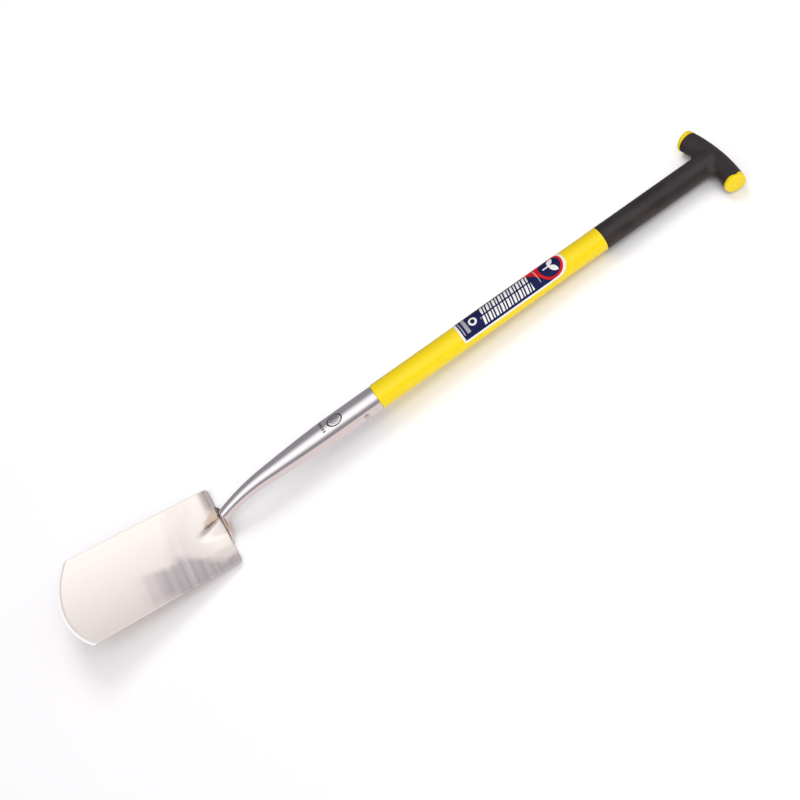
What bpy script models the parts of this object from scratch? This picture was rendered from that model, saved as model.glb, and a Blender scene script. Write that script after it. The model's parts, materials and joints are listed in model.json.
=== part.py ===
"""Garden spade with a stainless swan-neck head, a yellow jacketed shaft and a T-handle.

The pieces are modelled in the tool's own frame: the shaft axis is X, the handle is at +X, the soil
side is +Z, and the origin is on the shaft axis at the mouth of the socket. The whole tool is then
laid on the ground, soil side up, on its heel and its T-bar. Lengths are in metres.
"""

import math

import bmesh
import bpy
import numpy as np

MM = 0.001
GAP = 0.3 * MM  # kept between pieces that touch

# Shaft
JACKET_LENGTH = 392.5 * MM
JACKET_LOW_RADIUS = 19.5 * MM
JACKET_TOP_RADIUS = 18.4 * MM
CORE_RADIUS = 12.5 * MM
CORE_BORE_RADIUS = 8.5 * MM
SPIGOT_LENGTH = 70.0 * MM
CORE_PAST_SPIGOT = 20.0 * MM
CORE_TOP_MARGIN = 12.0 * MM  # from the core's end to the T-bar
PLUG_LENGTH = 85.0 * MM
UPPER_PLUG_START = 10.0 * MM  # past the jacket

# Socket and neck
SOCKET_RADIUS = 18.4 * MM
SOCKET_WALL = 1.5 * MM
NECK_RADIUS = 9.1 * MM
NECK_STRAIGHT = 193.0 * MM  # from the mouth to the start of the bend
NECK_BEND_RADIUS = 200.0 * MM
NECK_BEND_ANGLE = math.radians(25.0)
SOCKET_FLOOR = 212.0 * MM  # depth of the hollow
TAPER_PAST_BEND = 10.0 * MM  # how far beyond the bend the taper would run on
FLARE_LENGTH = 34.0 * MM
FLARE_HALF_WIDTH = 36.0 * MM
FLARE_HOLLOW = 2.6  # how hollow its sides are: 1 for straight ones
FLARE_SLIDE = 0.2  # shares of its length that the round ring slides on
FLARE_LEAD = 0.5  # and that the seam outline is drawn back

# Blade
BLADE_SIDE = 231.5 * MM  # shoulder line to tip corners
BLADE_BULGE = 28.0 * MM
SHOULDER_HALF_WIDTH = 69.7 * MM
TIP_HALF_WIDTH = 74.3 * MM
SHOULDER_CORNER_RADIUS = 5.5 * MM
BLADE_LIFT = math.radians(12.9)
HEEL_BACK = 292.0 * MM  # from the socket's mouth to the shoulder line
HEEL_DROP = 44.2 * MM  # from the shaft axis to the blade's middle there
SHOULDER_DISH = 6.5 * MM
TIP_DISH = 6.0 * MM
BLADE_THICK = 2.2 * MM
EDGE_THICK = 0.7 * MM  # at the tip, whose soil face is ground
GRIND_LENGTH = 7.0 * MM
RIB_HEIGHT = 25.0 * MM
RIB_HALF_WIDTH = 19.0 * MM
RIB_LENGTH = 46.0 * MM
RIB_END_WIDTH = 0.55  # share of its half width that is left at its end
RIB_FALL = 1.7  # power of its fall: 1 for a straight one
WELD_RADIUS = 1.5 * MM
WELD_LIFT = 1.2  # shares of its radius that the bead is lifted and leant out of the corner it lies in
WELD_LEAN = 0.8

# Rivet and pin
RIVET_RADIUS = 3.0 * MM
RIVET_HEAD_RADIUS = 4.2 * MM
RIVET_HEAD_HEIGHT = 1.0 * MM
RIVET_FROM_MOUTH = 27.0 * MM
PIN_RADIUS = 2.0 * MM
PIN_FROM_JACKET = 38.0 * MM
HOLE_CLEARANCE = 0.3 * MM
PIN_CHAMFER = 0.4 * MM
PIN_SHORT_OF_SKIN = 1.0 * MM
CUTTER_REACH = 30.0 * MM  # how far cutters run beyond what they cut

# T-handle
SLEEVE_LENGTH = 197.4 * MM  # from the jacket to the middle of the T-bar
SLEEVE_TOP_RADIUS = 18.1 * MM
BAR_HALF_LENGTH = 58.5 * MM
BAR_RADIUS = 15.6 * MM
BAR_BOW = 6.5 * MM
CROTCH_FILLET = 15.0 * MM
GRIP_WALL = 2.4 * MM
CORE_CLEARANCE = 0.6 * MM
BAR_BORE_RADIUS = 8.0 * MM
BAR_BORE_DEPTH = 30.0 * MM
CORE_SHORT_OF_END = 14.0 * MM
CAP_BAND = 8.5 * MM
CAP_BAND_TILT = 2.5 * MM
CAP_NOTCH = 3.0 * MM
CAP_NOTCH_AT = math.radians(80.0)
CAP_NOTCH_WIDTH = math.radians(20.0)
CAP_ROUND = 3.0 * MM
CAP_SPIGOT = 12.0 * MM
CAP_CHAMFER = 1.0 * MM
CAP_SEAM = 0.6 * MM  # between an end cap and the rubber
CROTCH_SOFTNESS = 2.0 * MM
JUNCTION_HALF = 26.0 * MM  # the bar keeps its plain section beyond this
CAGE_BAR_STEP = 12.0 * MM  # lengths of the finer rows beyond the junction
CAGE_SLEEVE_STEP = 30.0 * MM
CAGE_CUTS = 5
END_TILT = math.atan(2.0 * BAR_BOW / BAR_HALF_LENGTH)

# Label
LABEL_START = 146.5 * MM
LABEL_LENGTH = 183.5 * MM
LABEL_HALF_ANGLE = math.radians(71.0)
LABEL_THICK = 0.25 * MM
LABEL_COLUMNS = 25

COLLECTION = "garden_spade"
HEAD_SIDES = 48
SHAFT_SIDES = 40


def smoothstep(t):
    """0 below 0, 1 above 1, with a level start and end."""
    t = np.clip(t, 0.0, 1.0)
    return t * t * (3.0 - 2.0 * t)


# ---------------------------------------------------------------- scene


def clear_scene():
    for obj in list(bpy.data.objects):
        bpy.data.objects.remove(obj, do_unlink=True)


def collection(name, helper=False):
    made = bpy.data.collections.new(name)
    bpy.context.scene.collection.children.link(made)
    made.hide_render = helper
    return made


def material(name, color, roughness, metallic=0.0):
    made = bpy.data.materials.new(name)
    made.use_nodes = True
    shader = made.node_tree.nodes["Principled BSDF"]
    shader.inputs["Base Color"].default_value = (*color, 1.0)
    shader.inputs["Roughness"].default_value = roughness
    shader.inputs["Metallic"].default_value = metallic
    return made


def add_mesh(name, points, faces, into, look=None):
    mesh = bpy.data.meshes.new(name)
    mesh.from_pydata([tuple(p) for p in np.asarray(points, float)], [], [tuple(f) for f in faces])
    mesh.validate()
    obj = bpy.data.objects.new(name, mesh)
    into.objects.link(obj)
    if look:
        mesh.materials.append(look)
        mesh.shade_smooth()
        mesh.set_sharp_from_angle(angle=math.radians(35.0))
    return obj


def grid_faces(rows, columns, wrap):
    """Quads of a grid of points, row after row; wrap joins each row's end to its start."""
    faces = []
    for i in range(rows - 1):
        for j in range(columns if wrap else columns - 1):
            k = (j + 1) % columns
            faces.append((i * columns + j, i * columns + k, (i + 1) * columns + k, (i + 1) * columns + j))
    return faces


def outward(obj):
    """Turns all faces of a closed mesh outward."""
    work = bmesh.new()
    work.from_mesh(obj.data)
    bmesh.ops.recalc_face_normals(work, faces=work.faces)
    work.to_mesh(obj.data)
    work.free()
    return obj


def loft(name, rings, into, look=None):
    """A closed solid through rings of equal point count, with flat ends."""
    count = len(rings[0])
    faces = grid_faces(len(rings), count, wrap=True)
    last = (len(rings) - 1) * count
    faces.append(tuple(range(count)))
    faces.append(tuple(range(last, last + count)))
    return outward(add_mesh(name, np.concatenate(rings), faces, into, look))


def turned(name, profile, into, look=None, sides=SHAFT_SIDES):
    """A turned solid about X. The profile is a closed line of (radius, x), or runs from axis to axis."""
    points = [(radius, 0.0, x) for radius, x in profile]
    edges = [(i, i + 1) for i in range(len(points) - 1)]
    if min(profile[0][0], profile[-1][0]) > 0.0:
        edges.append((len(points) - 1, 0))
    mesh = bpy.data.meshes.new(name)
    mesh.from_pydata(points, edges, [])
    obj = bpy.data.objects.new(name, mesh)
    into.objects.link(obj)
    screw = obj.modifiers.new("Turn", "SCREW")
    screw.axis = "Z"
    screw.steps = sides
    screw.render_steps = sides
    screw.use_merge_vertices = True
    screw.merge_threshold = 0.00001
    screw.use_normal_calculate = False
    obj.rotation_euler = (0.0, math.pi / 2.0, 0.0)
    if look:
        mesh.materials.append(look)
    return obj


def cross_rod(name, radius, half_length, x, into, sides=24):
    """A plain rod along Y, for a cutter."""
    angles = np.arange(sides) * (2.0 * math.pi / sides)
    rings = [
        np.stack([x + radius * np.cos(angles), np.full(sides, y), radius * np.sin(angles)], axis=1)
        for y in (-half_length, half_length)
    ]
    return loft(name, rings, into)


def cut(obj, cutter):
    step = obj.modifiers.new("Cut " + cutter.name, "BOOLEAN")
    step.operation = "DIFFERENCE"
    step.solver = "EXACT"
    step.object = cutter


# ---------------------------------------------------------------- shaft


def shaft_core_top():
    return JACKET_LENGTH + SLEEVE_LENGTH - BAR_RADIUS - CORE_TOP_MARGIN


def make_shaft_core(parts, look):
    low = -(SPIGOT_LENGTH + CORE_PAST_SPIGOT)
    top = shaft_core_top()
    profile = [(CORE_RADIUS, top), (CORE_RADIUS, low), (CORE_BORE_RADIUS, low), (CORE_BORE_RADIUS, top)]
    return turned("shaft_core", profile, parts, look)


def make_core_plug(name, low, parts, look):
    radius = CORE_BORE_RADIUS - GAP
    bevel = 1.0 * MM
    top = low + PLUG_LENGTH
    profile = [
        (0.0, top),
        (radius - bevel, top),
        (radius, top - bevel),
        (radius, low + bevel),
        (radius - bevel, low),
        (0.0, low),
    ]
    return turned(name, profile, parts, look, sides=28)


def make_shaft_jacket(parts, look):
    spigot = SOCKET_RADIUS - SOCKET_WALL - GAP
    bore = CORE_RADIUS + GAP
    edge = 0.8 * MM
    profile = [
        (JACKET_TOP_RADIUS - edge / 2.0, JACKET_LENGTH),
        (JACKET_TOP_RADIUS, JACKET_LENGTH - edge / 2.0),
        (JACKET_LOW_RADIUS, GAP + edge),
        (JACKET_LOW_RADIUS - edge, GAP),
        (spigot, GAP),
        (spigot, -SPIGOT_LENGTH + edge),
        (spigot - edge, -SPIGOT_LENGTH),
        (bore, -SPIGOT_LENGTH),
        (bore, JACKET_LENGTH),
    ]
    return turned("shaft_jacket", profile, parts, look)


def jacket_radius(x):
    share = (x - GAP) / (JACKET_LENGTH - GAP)
    return JACKET_LOW_RADIUS + (JACKET_TOP_RADIUS - JACKET_LOW_RADIUS) * share


def make_label(parts, look):
    """A thin shell on the jacket's soil side, a ring of points along its inner and outer face at each end."""
    across = np.linspace(-LABEL_HALF_ANGLE, LABEL_HALF_ANGLE, LABEL_COLUMNS)
    angles = np.concatenate([across, across[::-1]])
    count = len(angles)
    rings = []
    for x in (LABEL_START, LABEL_START + LABEL_LENGTH):
        inner = np.full(LABEL_COLUMNS, jacket_radius(x) + GAP)
        radii = np.concatenate([inner, inner + LABEL_THICK])
        rings.append(np.stack([np.full(count, x), radii * np.sin(angles), radii * np.cos(angles)], axis=1))
    faces = grid_faces(2, count, wrap=True)
    for end in (0, count):
        last = end + count - 1
        faces += [(end + j, end + j + 1, last - j - 1, last - j) for j in range(LABEL_COLUMNS - 1)]
    return outward(add_mesh("label", np.concatenate(rings), faces, parts, look))


# ---------------------------------------------------------------- head


def socket_radius(distance):
    """Outer radius of the socket and neck at a distance from the mouth."""
    neck_end = NECK_STRAIGHT + NECK_BEND_RADIUS * NECK_BEND_ANGLE
    share = smoothstep((distance - SPIGOT_LENGTH) / (neck_end + TAPER_PAST_BEND - SPIGOT_LENGTH))
    return SOCKET_RADIUS + (NECK_RADIUS - SOCKET_RADIUS) * share


def dish(along, across):
    """Height of the blade's soil face over its lengthwise middle line, without the rib."""
    share = np.clip(along / BLADE_SIDE, 0.0, 1.2)
    depth = SHOULDER_DISH + (TIP_DISH - SHOULDER_DISH) * share
    half = SHOULDER_HALF_WIDTH + (TIP_HALF_WIDTH - SHOULDER_HALF_WIDTH) * share
    return depth * (across / half) ** 2


def rib(along, across):
    """Height of the rib that carries the neck's line on into the blade."""
    left = np.clip(1.0 - along / RIB_LENGTH, 0.0, 1.0)
    half = RIB_HALF_WIDTH * (RIB_END_WIDTH + (1.0 - RIB_END_WIDTH) * left)
    bell = np.cos(0.5 * math.pi * np.clip(across / half, -1.0, 1.0)) ** 2
    return RIB_HEIGHT * left**RIB_FALL * bell


def blade_to_tool(along, across, height):
    """Blade coordinates (from the shoulder line to the tip, across, over the middle line) to tool."""
    c = math.cos(BLADE_LIFT)
    s = math.sin(BLADE_LIFT)
    x = -HEEL_BACK - along * c + height * s
    z = -HEEL_DROP + along * s + height * c
    return np.stack([x, across, z], axis=-1)


def seam_section(count, along):
    """The closed outline where the neck meets the blade: bell above, plain sheet below."""
    top = count // 2 + 1
    turn = np.linspace(0.0, math.pi, top)
    y_top = FLARE_HALF_WIDTH * np.cos(turn)
    y_low = FLARE_HALF_WIDTH * np.cos(turn[1:-1])[::-1]
    high = dish(0.0, y_top) + rib(0.0, y_top)
    high[[0, -1]] -= BLADE_THICK / 2.0
    low = dish(0.0, y_low) - BLADE_THICK
    across = np.concatenate([y_top, y_low])
    return blade_to_tool(np.full(count, along), across, np.concatenate([high, low]))


def neck_path(distance):
    """(x, z, downward angle) of the neck's middle line at a distance from the mouth."""
    bend = np.clip((distance - NECK_STRAIGHT) / NECK_BEND_RADIUS, 0.0, NECK_BEND_ANGLE)
    past = max(distance - NECK_STRAIGHT - NECK_BEND_RADIUS * NECK_BEND_ANGLE, 0.0)
    x = -min(distance, NECK_STRAIGHT) - NECK_BEND_RADIUS * math.sin(bend) - past * math.cos(bend)
    z = -NECK_BEND_RADIUS * (1.0 - math.cos(bend)) - past * math.sin(bend)
    return x, z, bend


def neck_ring(distance, radius, count):
    x, z, bend = neck_path(distance)
    turn = np.arange(count) * (2.0 * math.pi / count)
    up = radius * np.sin(turn)
    return np.stack([x - up * math.sin(bend), radius * np.cos(turn), z + up * math.cos(bend)], axis=1)


def neck_flare_ring(share, count):
    """A ring between the round neck (share 0) and the seam outline (share 1)."""
    start = NECK_STRAIGHT + NECK_BEND_RADIUS * NECK_BEND_ANGLE
    # The round ring slides on along the bend while it turns into the seam outline.
    round_ring = neck_ring(start + share * FLARE_LENGTH * FLARE_SLIDE, NECK_RADIUS, count)
    seam = seam_section(count, -GAP - (1.0 - share) * FLARE_LENGTH * FLARE_LEAD)
    weight = share**FLARE_HOLLOW
    return round_ring + (seam - round_ring) * weight


def make_neck_socket(parts, cutters, look):
    bend_end = NECK_STRAIGHT + NECK_BEND_RADIUS * NECK_BEND_ANGLE
    stops = np.concatenate([
        [0.0, SPIGOT_LENGTH],
        np.linspace(SPIGOT_LENGTH, NECK_STRAIGHT, 9)[1:],
        np.linspace(NECK_STRAIGHT, bend_end, 10)[1:],
    ])
    outer = [neck_ring(d, socket_radius(d), HEAD_SIDES) for d in stops]
    outer += [neck_flare_ring(share, HEAD_SIDES) for share in np.linspace(0.0, 1.0, 11)[1:]]
    depths = np.linspace(SOCKET_FLOOR, 0.0, 12)
    inner = [neck_ring(d, socket_radius(d) - SOCKET_WALL, HEAD_SIDES) for d in depths]
    rings = outer[::-1] + inner[::-1]
    body = loft("neck_socket", rings, parts, look)
    cut(body, cutters["rivet"])
    return body


def blade_outline(across_share, along_share):
    """(along, across) on the blade for shares in -1..1 and 0..1."""
    ball = (TIP_HALF_WIDTH**2 + BLADE_BULGE**2) / (2.0 * BLADE_BULGE)
    tip = BLADE_SIDE - (ball - BLADE_BULGE) + np.sqrt(ball**2 - (across_share * TIP_HALF_WIDTH) ** 2)
    along = tip * along_share
    half = SHOULDER_HALF_WIDTH + (TIP_HALF_WIDTH - SHOULDER_HALF_WIDTH) * np.clip(along / BLADE_SIDE, 0, 1)
    left = np.clip(SHOULDER_CORNER_RADIUS - along, 0.0, SHOULDER_CORNER_RADIUS)
    half = half - (SHOULDER_CORNER_RADIUS - np.sqrt(SHOULDER_CORNER_RADIUS**2 - left**2))
    return along, half * across_share, tip


def make_blade(parts, look):
    # Columns lie closer together over the rib, and rows over the shoulder corners and the rib.
    length = BLADE_SIDE + BLADE_BULGE
    rib_side = 1.3 * RIB_HALF_WIDTH / SHOULDER_HALF_WIDTH
    rib_end = RIB_LENGTH / length
    corner_end = 1.25 * SHOULDER_CORNER_RADIUS / length
    fine = np.linspace(-rib_side, rib_side, 17)
    across = np.concatenate([np.linspace(-1.0, -rib_side, 8)[:-1], fine, np.linspace(rib_side, 1.0, 8)[1:]])
    corner = corner_end * np.array([0.0, 0.09, 0.26, 0.52, 1.0])
    grind = 1.0 - np.array([GRIND_LENGTH, 0.0]) / length
    over_rib = np.linspace(corner_end, rib_end, 9)[1:]
    rows = np.concatenate([corner, over_rib, np.linspace(rib_end, grind[0], 9)[1:], grind[1:]])
    u, v = np.meshgrid(across, rows)
    along, side, tip = blade_outline(u, v)
    middle = dish(along, side)
    ground = (BLADE_THICK - EDGE_THICK) * np.clip(1.0 - (tip - along) / GRIND_LENGTH, 0.0, 1.0)
    top = blade_to_tool(along, side, middle + rib(along, side) - ground).reshape(-1, 3)
    low = blade_to_tool(along, side, middle - BLADE_THICK).reshape(-1, 3)
    height, width = u.shape
    count = height * width
    faces = grid_faces(height, width, wrap=False)
    faces += [tuple(count + k for k in face[::-1]) for face in faces]
    left = [i * width for i in range(height)]
    edge = list(range(width)) + [i * width + width - 1 for i in range(1, height)]
    edge += list(range(count - width, count - 1))[::-1] + left[1:-1][::-1]
    for here, there in zip(edge, edge[1:] + edge[:1]):
        faces.append((here, there, count + there, count + here))
    return outward(add_mesh("blade", np.concatenate([top, low]), faces, parts, look))


def make_neck_weld(parts, look):
    """A bead along the front of the seam, lying in the corner between neck and blade."""
    y = np.linspace(-FLARE_HALF_WIDTH, FLARE_HALF_WIDTH, 23)
    height = dish(0.0, y) + rib(0.0, y)
    slope = np.gradient(height, y)
    length = np.sqrt(1.0 + slope**2)
    lift = (WELD_RADIUS + GAP) * WELD_LIFT
    forward = np.full_like(y, lift * WELD_LEAN)
    points = blade_to_tool(forward, y - lift * slope / length, height + lift / length)
    curve = bpy.data.curves.new("neck_weld", "CURVE")
    curve.dimensions = "3D"
    curve.bevel_depth = WELD_RADIUS
    curve.bevel_resolution = 2
    curve.use_fill_caps = True
    line = curve.splines.new("POLY")
    line.points.add(len(points) - 1)
    for spot, place in zip(line.points, points):
        spot.co = (*place, 1.0)
    curve.materials.append(look)
    obj = bpy.data.objects.new("neck_weld", curve)
    parts.objects.link(obj)
    return obj


def make_socket_rivet(parts, look):
    under = SOCKET_RADIUS + GAP
    top = under + RIVET_HEAD_HEIGHT
    head = [
        (0.0, top),
        (RIVET_HEAD_RADIUS * 0.55, top - RIVET_HEAD_HEIGHT * 0.12),
        (RIVET_HEAD_RADIUS * 0.9, top - RIVET_HEAD_HEIGHT * 0.5),
        (RIVET_HEAD_RADIUS, under),
        (RIVET_RADIUS, under),
    ]
    profile = head + [(radius, -x) for radius, x in head[::-1]]
    rivet = turned("socket_rivet", profile, parts, look, sides=24)
    rivet.rotation_euler = (math.pi / 2.0, 0.0, 0.0)
    rivet.location = (-RIVET_FROM_MOUTH, 0.0, 0.0)
    return rivet


# ---------------------------------------------------------------- T-handle


def bar_middle(y):
    """X of the T-bar's middle line, which bows away from the shaft."""
    return JACKET_LENGTH + SLEEVE_LENGTH - BAR_BOW * (y / BAR_HALF_LENGTH) ** 2


def tee_field(points, depth):
    """Signed distance, nearly, to the T-handle at a depth: bar and sleeve with a filleted crotch."""
    x, y, z = points.T
    slope = 2.0 * BAR_BOW * y / BAR_HALF_LENGTH**2
    bar_radius = BAR_RADIUS - depth
    bar = np.sqrt((x - bar_middle(y)) ** 2 / (1.0 + slope**2) + z**2) - bar_radius
    share = (x - JACKET_LENGTH) / SLEEVE_LENGTH
    radius = JACKET_TOP_RADIUS + (SLEEVE_TOP_RADIUS - JACKET_TOP_RADIUS) * share - depth
    dome = np.clip(x - bar_middle(0.0) + BAR_BOW, 0.0, None)
    sleeve = np.sqrt(y**2 + z**2 + dome**2) - radius
    # The fillet is only in the crotch: it fades out over the faces and on the far side of the bar.
    inward = smoothstep((bar_middle(0.0) - x) / bar_radius)
    round_off = np.clip(1.0 - (z / bar_radius) ** 2, 0.0, 1.0) * inward
    fillet = (CROTCH_FILLET + depth) * round_off + CROTCH_SOFTNESS
    near = np.clip(fillet - np.abs(bar - sleeve), 0.0, None) / fillet
    return np.minimum(bar, sleeve) - near**2 * fillet / 4.0


def cap_band(turn, side):
    """Length of an end cap's coloured band, round the bar. Each cap has one notch, on opposite faces."""
    notch_at = np.where(side < 0.0, CAP_NOTCH_AT, -CAP_NOTCH_AT)
    off = (turn - notch_at + math.pi) % (2.0 * math.pi) - math.pi
    return CAP_BAND + CAP_BAND_TILT * np.cos(turn) - CAP_NOTCH * np.exp(-((off / CAP_NOTCH_WIDTH) ** 2))


def settle_on_tee(points, depth):
    """Moves points onto the surface at a depth under the handle's outside.

    Points of the bar keep their Y and points of the sleeve keep their X, so the rings stay in place.
    """
    step = 0.01 * MM
    free = np.ones_like(points)
    free[np.abs(points[:, 1]) > JUNCTION_HALF, 1] = 0.0
    free[points[:, 0] < bar_middle(0.0) - BAR_RADIUS - JUNCTION_HALF / 2.0, 0] = 0.0
    for _ in range(25):
        slope = np.stack(
            [
                (tee_field(points + move, depth) - tee_field(points - move, depth)) / (2.0 * step)
                for move in np.eye(3) * step
            ],
            axis=1,
        )
        slope *= free
        size = np.maximum((slope**2).sum(axis=1), 0.05)
        points = points - (tee_field(points, depth) / size)[:, None] * slope
    return points


def tee_cage():
    """(points, faces) of a T-shaped tube of square section, open at its three ends."""
    work = bmesh.new()
    bmesh.ops.create_cube(work, size=2.0)
    half = np.array([BAR_RADIUS, SLEEVE_TOP_RADIUS, SLEEVE_TOP_RADIUS])
    middle = np.array([bar_middle(0.0), 0.0, 0.0])
    for vertex in work.verts:
        vertex.co = middle + half * np.array(vertex.co)
    bar_stops = [JUNCTION_HALF + CAGE_BAR_STEP, BAR_HALF_LENGTH]
    arms = [
        ((0.0, 1.0, 0.0), bar_stops),
        ((0.0, -1.0, 0.0), bar_stops),
        ((-1.0, 0.0, 0.0), [BAR_RADIUS + CAGE_SLEEVE_STEP, SLEEVE_LENGTH - GAP]),
    ]
    for direction, stops in arms:
        axis = np.array(direction)
        face = next(f for f in work.faces if np.dot(f.normal, axis) > 0.99)
        for stop in stops:
            face = bmesh.ops.extrude_discrete_faces(work, faces=[face])["faces"][0]
            for vertex in face.verts:
                here = np.array(vertex.co)
                vertex.co = here + axis * (stop - np.dot(here - middle, axis))
        bmesh.ops.delete(work, geom=[face], context="FACES_ONLY")
    bmesh.ops.subdivide_edges(work, edges=work.edges[:], cuts=CAGE_CUTS, use_grid_fill=True)
    bmesh.ops.recalc_face_normals(work, faces=work.faces)
    work.verts.index_update()
    points = np.array([vertex.co for vertex in work.verts])
    faces = [[vertex.index for vertex in face.verts] for face in work.faces]
    loops = boundary_loops(work)
    work.free()
    return points, faces, loops


def boundary_loops(work):
    """Vertex indices along each open end of a mesh."""
    loops = []
    left = {edge for edge in work.edges if edge.is_boundary}
    while left:
        edge = left.pop()
        loop = [edge.verts[0], edge.verts[1]]
        while True:
            after = next((e for e in loop[-1].link_edges if e in left), None)
            if after is None:
                break
            left.remove(after)
            loop.append(after.other_vert(loop[-1]))
        loops.append([vertex.index for vertex in loop[:-1]])
    return loops


def tee_skin(depth, band):
    """(points, faces, loops) of the T at a depth, its bar ending band(turn, side) short of the end planes."""
    cage, faces, loops = tee_cage()
    side = np.sign(cage[:, 1])
    share = np.clip((np.abs(cage[:, 1]) - JUNCTION_HALF) / (BAR_HALF_LENGTH - JUNCTION_HALF), 0.0, None)
    points = settle_on_tee(cage, depth)
    for _ in range(3):
        x, y, z = points.T
        turn = np.arctan2(z, x - bar_middle(y))
        lean = math.tan(END_TILT) * (x - bar_middle(BAR_HALF_LENGTH))
        end = BAR_HALF_LENGTH - band(turn, side) / math.cos(END_TILT) + lean
        moved = side * (JUNCTION_HALF + share * (end - JUNCTION_HALF))
        points[:, 1] = np.where(share > 0.0, moved, y)
        points = settle_on_tee(points, depth)
    return points, faces, loops


def make_handle_grip(parts, look):
    points, faces, _ = tee_skin(0.0, lambda turn, side: cap_band(turn, side) + CAP_SEAM)
    grip = add_mesh("handle_grip", points, faces, parts, look)
    wall = grip.modifiers.new("Rubber", "SOLIDIFY")
    wall.thickness = GRIP_WALL
    wall.offset = -1.0
    wall.use_even_offset = True
    return grip


def bar_end(side):
    """(point, direction outwards, direction away from the shaft) of a flat end of the T-bar."""
    point = np.array([bar_middle(BAR_HALF_LENGTH), side * BAR_HALF_LENGTH, 0.0])
    out = np.array([-math.sin(END_TILT), side * math.cos(END_TILT), 0.0])
    away = np.array([math.cos(END_TILT), side * math.sin(END_TILT), 0.0])
    return point, out, away


def end_ring(side, depth, radius, count):
    """Points round a bar end's axis; depth is counted inwards from the end plane."""
    point, out, away = bar_end(side)
    turn = np.arange(count) * (2.0 * math.pi / count)
    up = np.array([0.0, 0.0, 1.0])
    depth = depth(turn, np.full(count, side)) if callable(depth) else np.full(count, depth)
    return point - depth[:, None] * out + radius * (np.cos(turn)[:, None] * away + np.sin(turn)[:, None] * up)


def make_handle_core(parts, cutters, look):
    points, faces, loops = tee_skin(
        GRIP_WALL + CORE_CLEARANCE, lambda turn, side: np.full_like(turn, CORE_SHORT_OF_END)
    )
    core = outward(add_mesh("handle_core", points, faces + loops, parts, look))
    cut(core, cutters["sleeve_bore"])
    cut(core, cutters["bar_bore_left"])
    cut(core, cutters["bar_bore_right"])
    cut(core, cutters["pin"])
    return core


def make_end_cap(name, side, parts, look):
    # The bar is bowed and the boss is straight, so it is slimmer by what they part over its length.
    departure = BAR_BOW * (CORE_SHORT_OF_END / BAR_HALF_LENGTH) ** 2
    boss = BAR_RADIUS - GRIP_WALL - CORE_CLEARANCE - departure
    inner = CORE_SHORT_OF_END - GAP
    rounding = [
        (CAP_ROUND * (1.0 - math.sin(a)), BAR_RADIUS - CAP_ROUND * (1.0 - math.cos(a)))
        for a in np.linspace(0.0, math.pi / 2.0, 5)
    ]
    stops = [
        (inner + CAP_SPIGOT, BAR_BORE_RADIUS - GAP - CAP_CHAMFER),
        (inner + CAP_SPIGOT - CAP_CHAMFER, BAR_BORE_RADIUS - GAP),
        (inner, BAR_BORE_RADIUS - GAP),
        (inner, boss),
        (cap_band, boss),
        (cap_band, BAR_RADIUS),
    ]
    rings = [end_ring(side, depth, radius, 40) for depth, radius in stops + rounding]
    return loft(name, rings, parts, look)


def make_handle_pin(parts, look):
    half = JACKET_TOP_RADIUS - GRIP_WALL - CORE_CLEARANCE - PIN_SHORT_OF_SKIN
    edge = PIN_CHAMFER
    profile = [
        (0.0, half),
        (PIN_RADIUS - edge, half),
        (PIN_RADIUS, half - edge),
        (PIN_RADIUS, edge - half),
        (PIN_RADIUS - edge, -half),
        (0.0, -half),
    ]
    pin = turned("handle_pin", profile, parts, look, sides=16)
    pin.rotation_euler = (math.pi / 2.0, 0.0, 0.0)
    pin.location = (JACKET_LENGTH + PIN_FROM_JACKET, 0.0, 0.0)
    return pin


# ---------------------------------------------------------------- assembly


def make_cutters(into):
    reach = CUTTER_REACH
    made = {
        "rivet": cross_rod("cut_rivet", RIVET_RADIUS + HOLE_CLEARANCE, reach, -RIVET_FROM_MOUTH, into),
        "pin": cross_rod("cut_pin", PIN_RADIUS + HOLE_CLEARANCE, reach, JACKET_LENGTH + PIN_FROM_JACKET, into),
    }
    turn = np.arange(SHAFT_SIDES) * (2.0 * math.pi / SHAFT_SIDES)
    radius = CORE_RADIUS + GAP
    rings = [
        np.stack([np.full(SHAFT_SIDES, x), radius * np.cos(turn), radius * np.sin(turn)], axis=1)
        for x in (JACKET_LENGTH - reach, shaft_core_top() + GAP)
    ]
    made["sleeve_bore"] = loft("cut_sleeve_bore", rings, into)
    for name, side in (("left", 1.0), ("right", -1.0)):
        rings = [end_ring(side, depth, BAR_BORE_RADIUS, 32) for depth in (BAR_BORE_DEPTH, -reach)]
        made["bar_bore_" + name] = loft("cut_bar_bore_" + name, rings, into)
    for cutter in made.values():
        cutter.display_type = "WIRE"
        cutter.hide_render = True
    return made


def world_points(parts):
    """All points of the finished pieces, as the viewport evaluates them."""
    bpy.context.view_layer.update()
    graph = bpy.context.evaluated_depsgraph_get()
    found = []
    for obj in parts.objects:
        if obj.type == "EMPTY":
            continue
        evaluated = obj.evaluated_get(graph)
        mesh = evaluated.to_mesh()
        points = np.empty(len(mesh.vertices) * 3, np.float32)
        mesh.vertices.foreach_get("co", points)
        evaluated.to_mesh_clear()
        world = np.array(evaluated.matrix_world, float)
        found.append(points.reshape(-1, 3) @ world[:3, :3].T + world[:3, 3])
    return np.concatenate(found)


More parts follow.
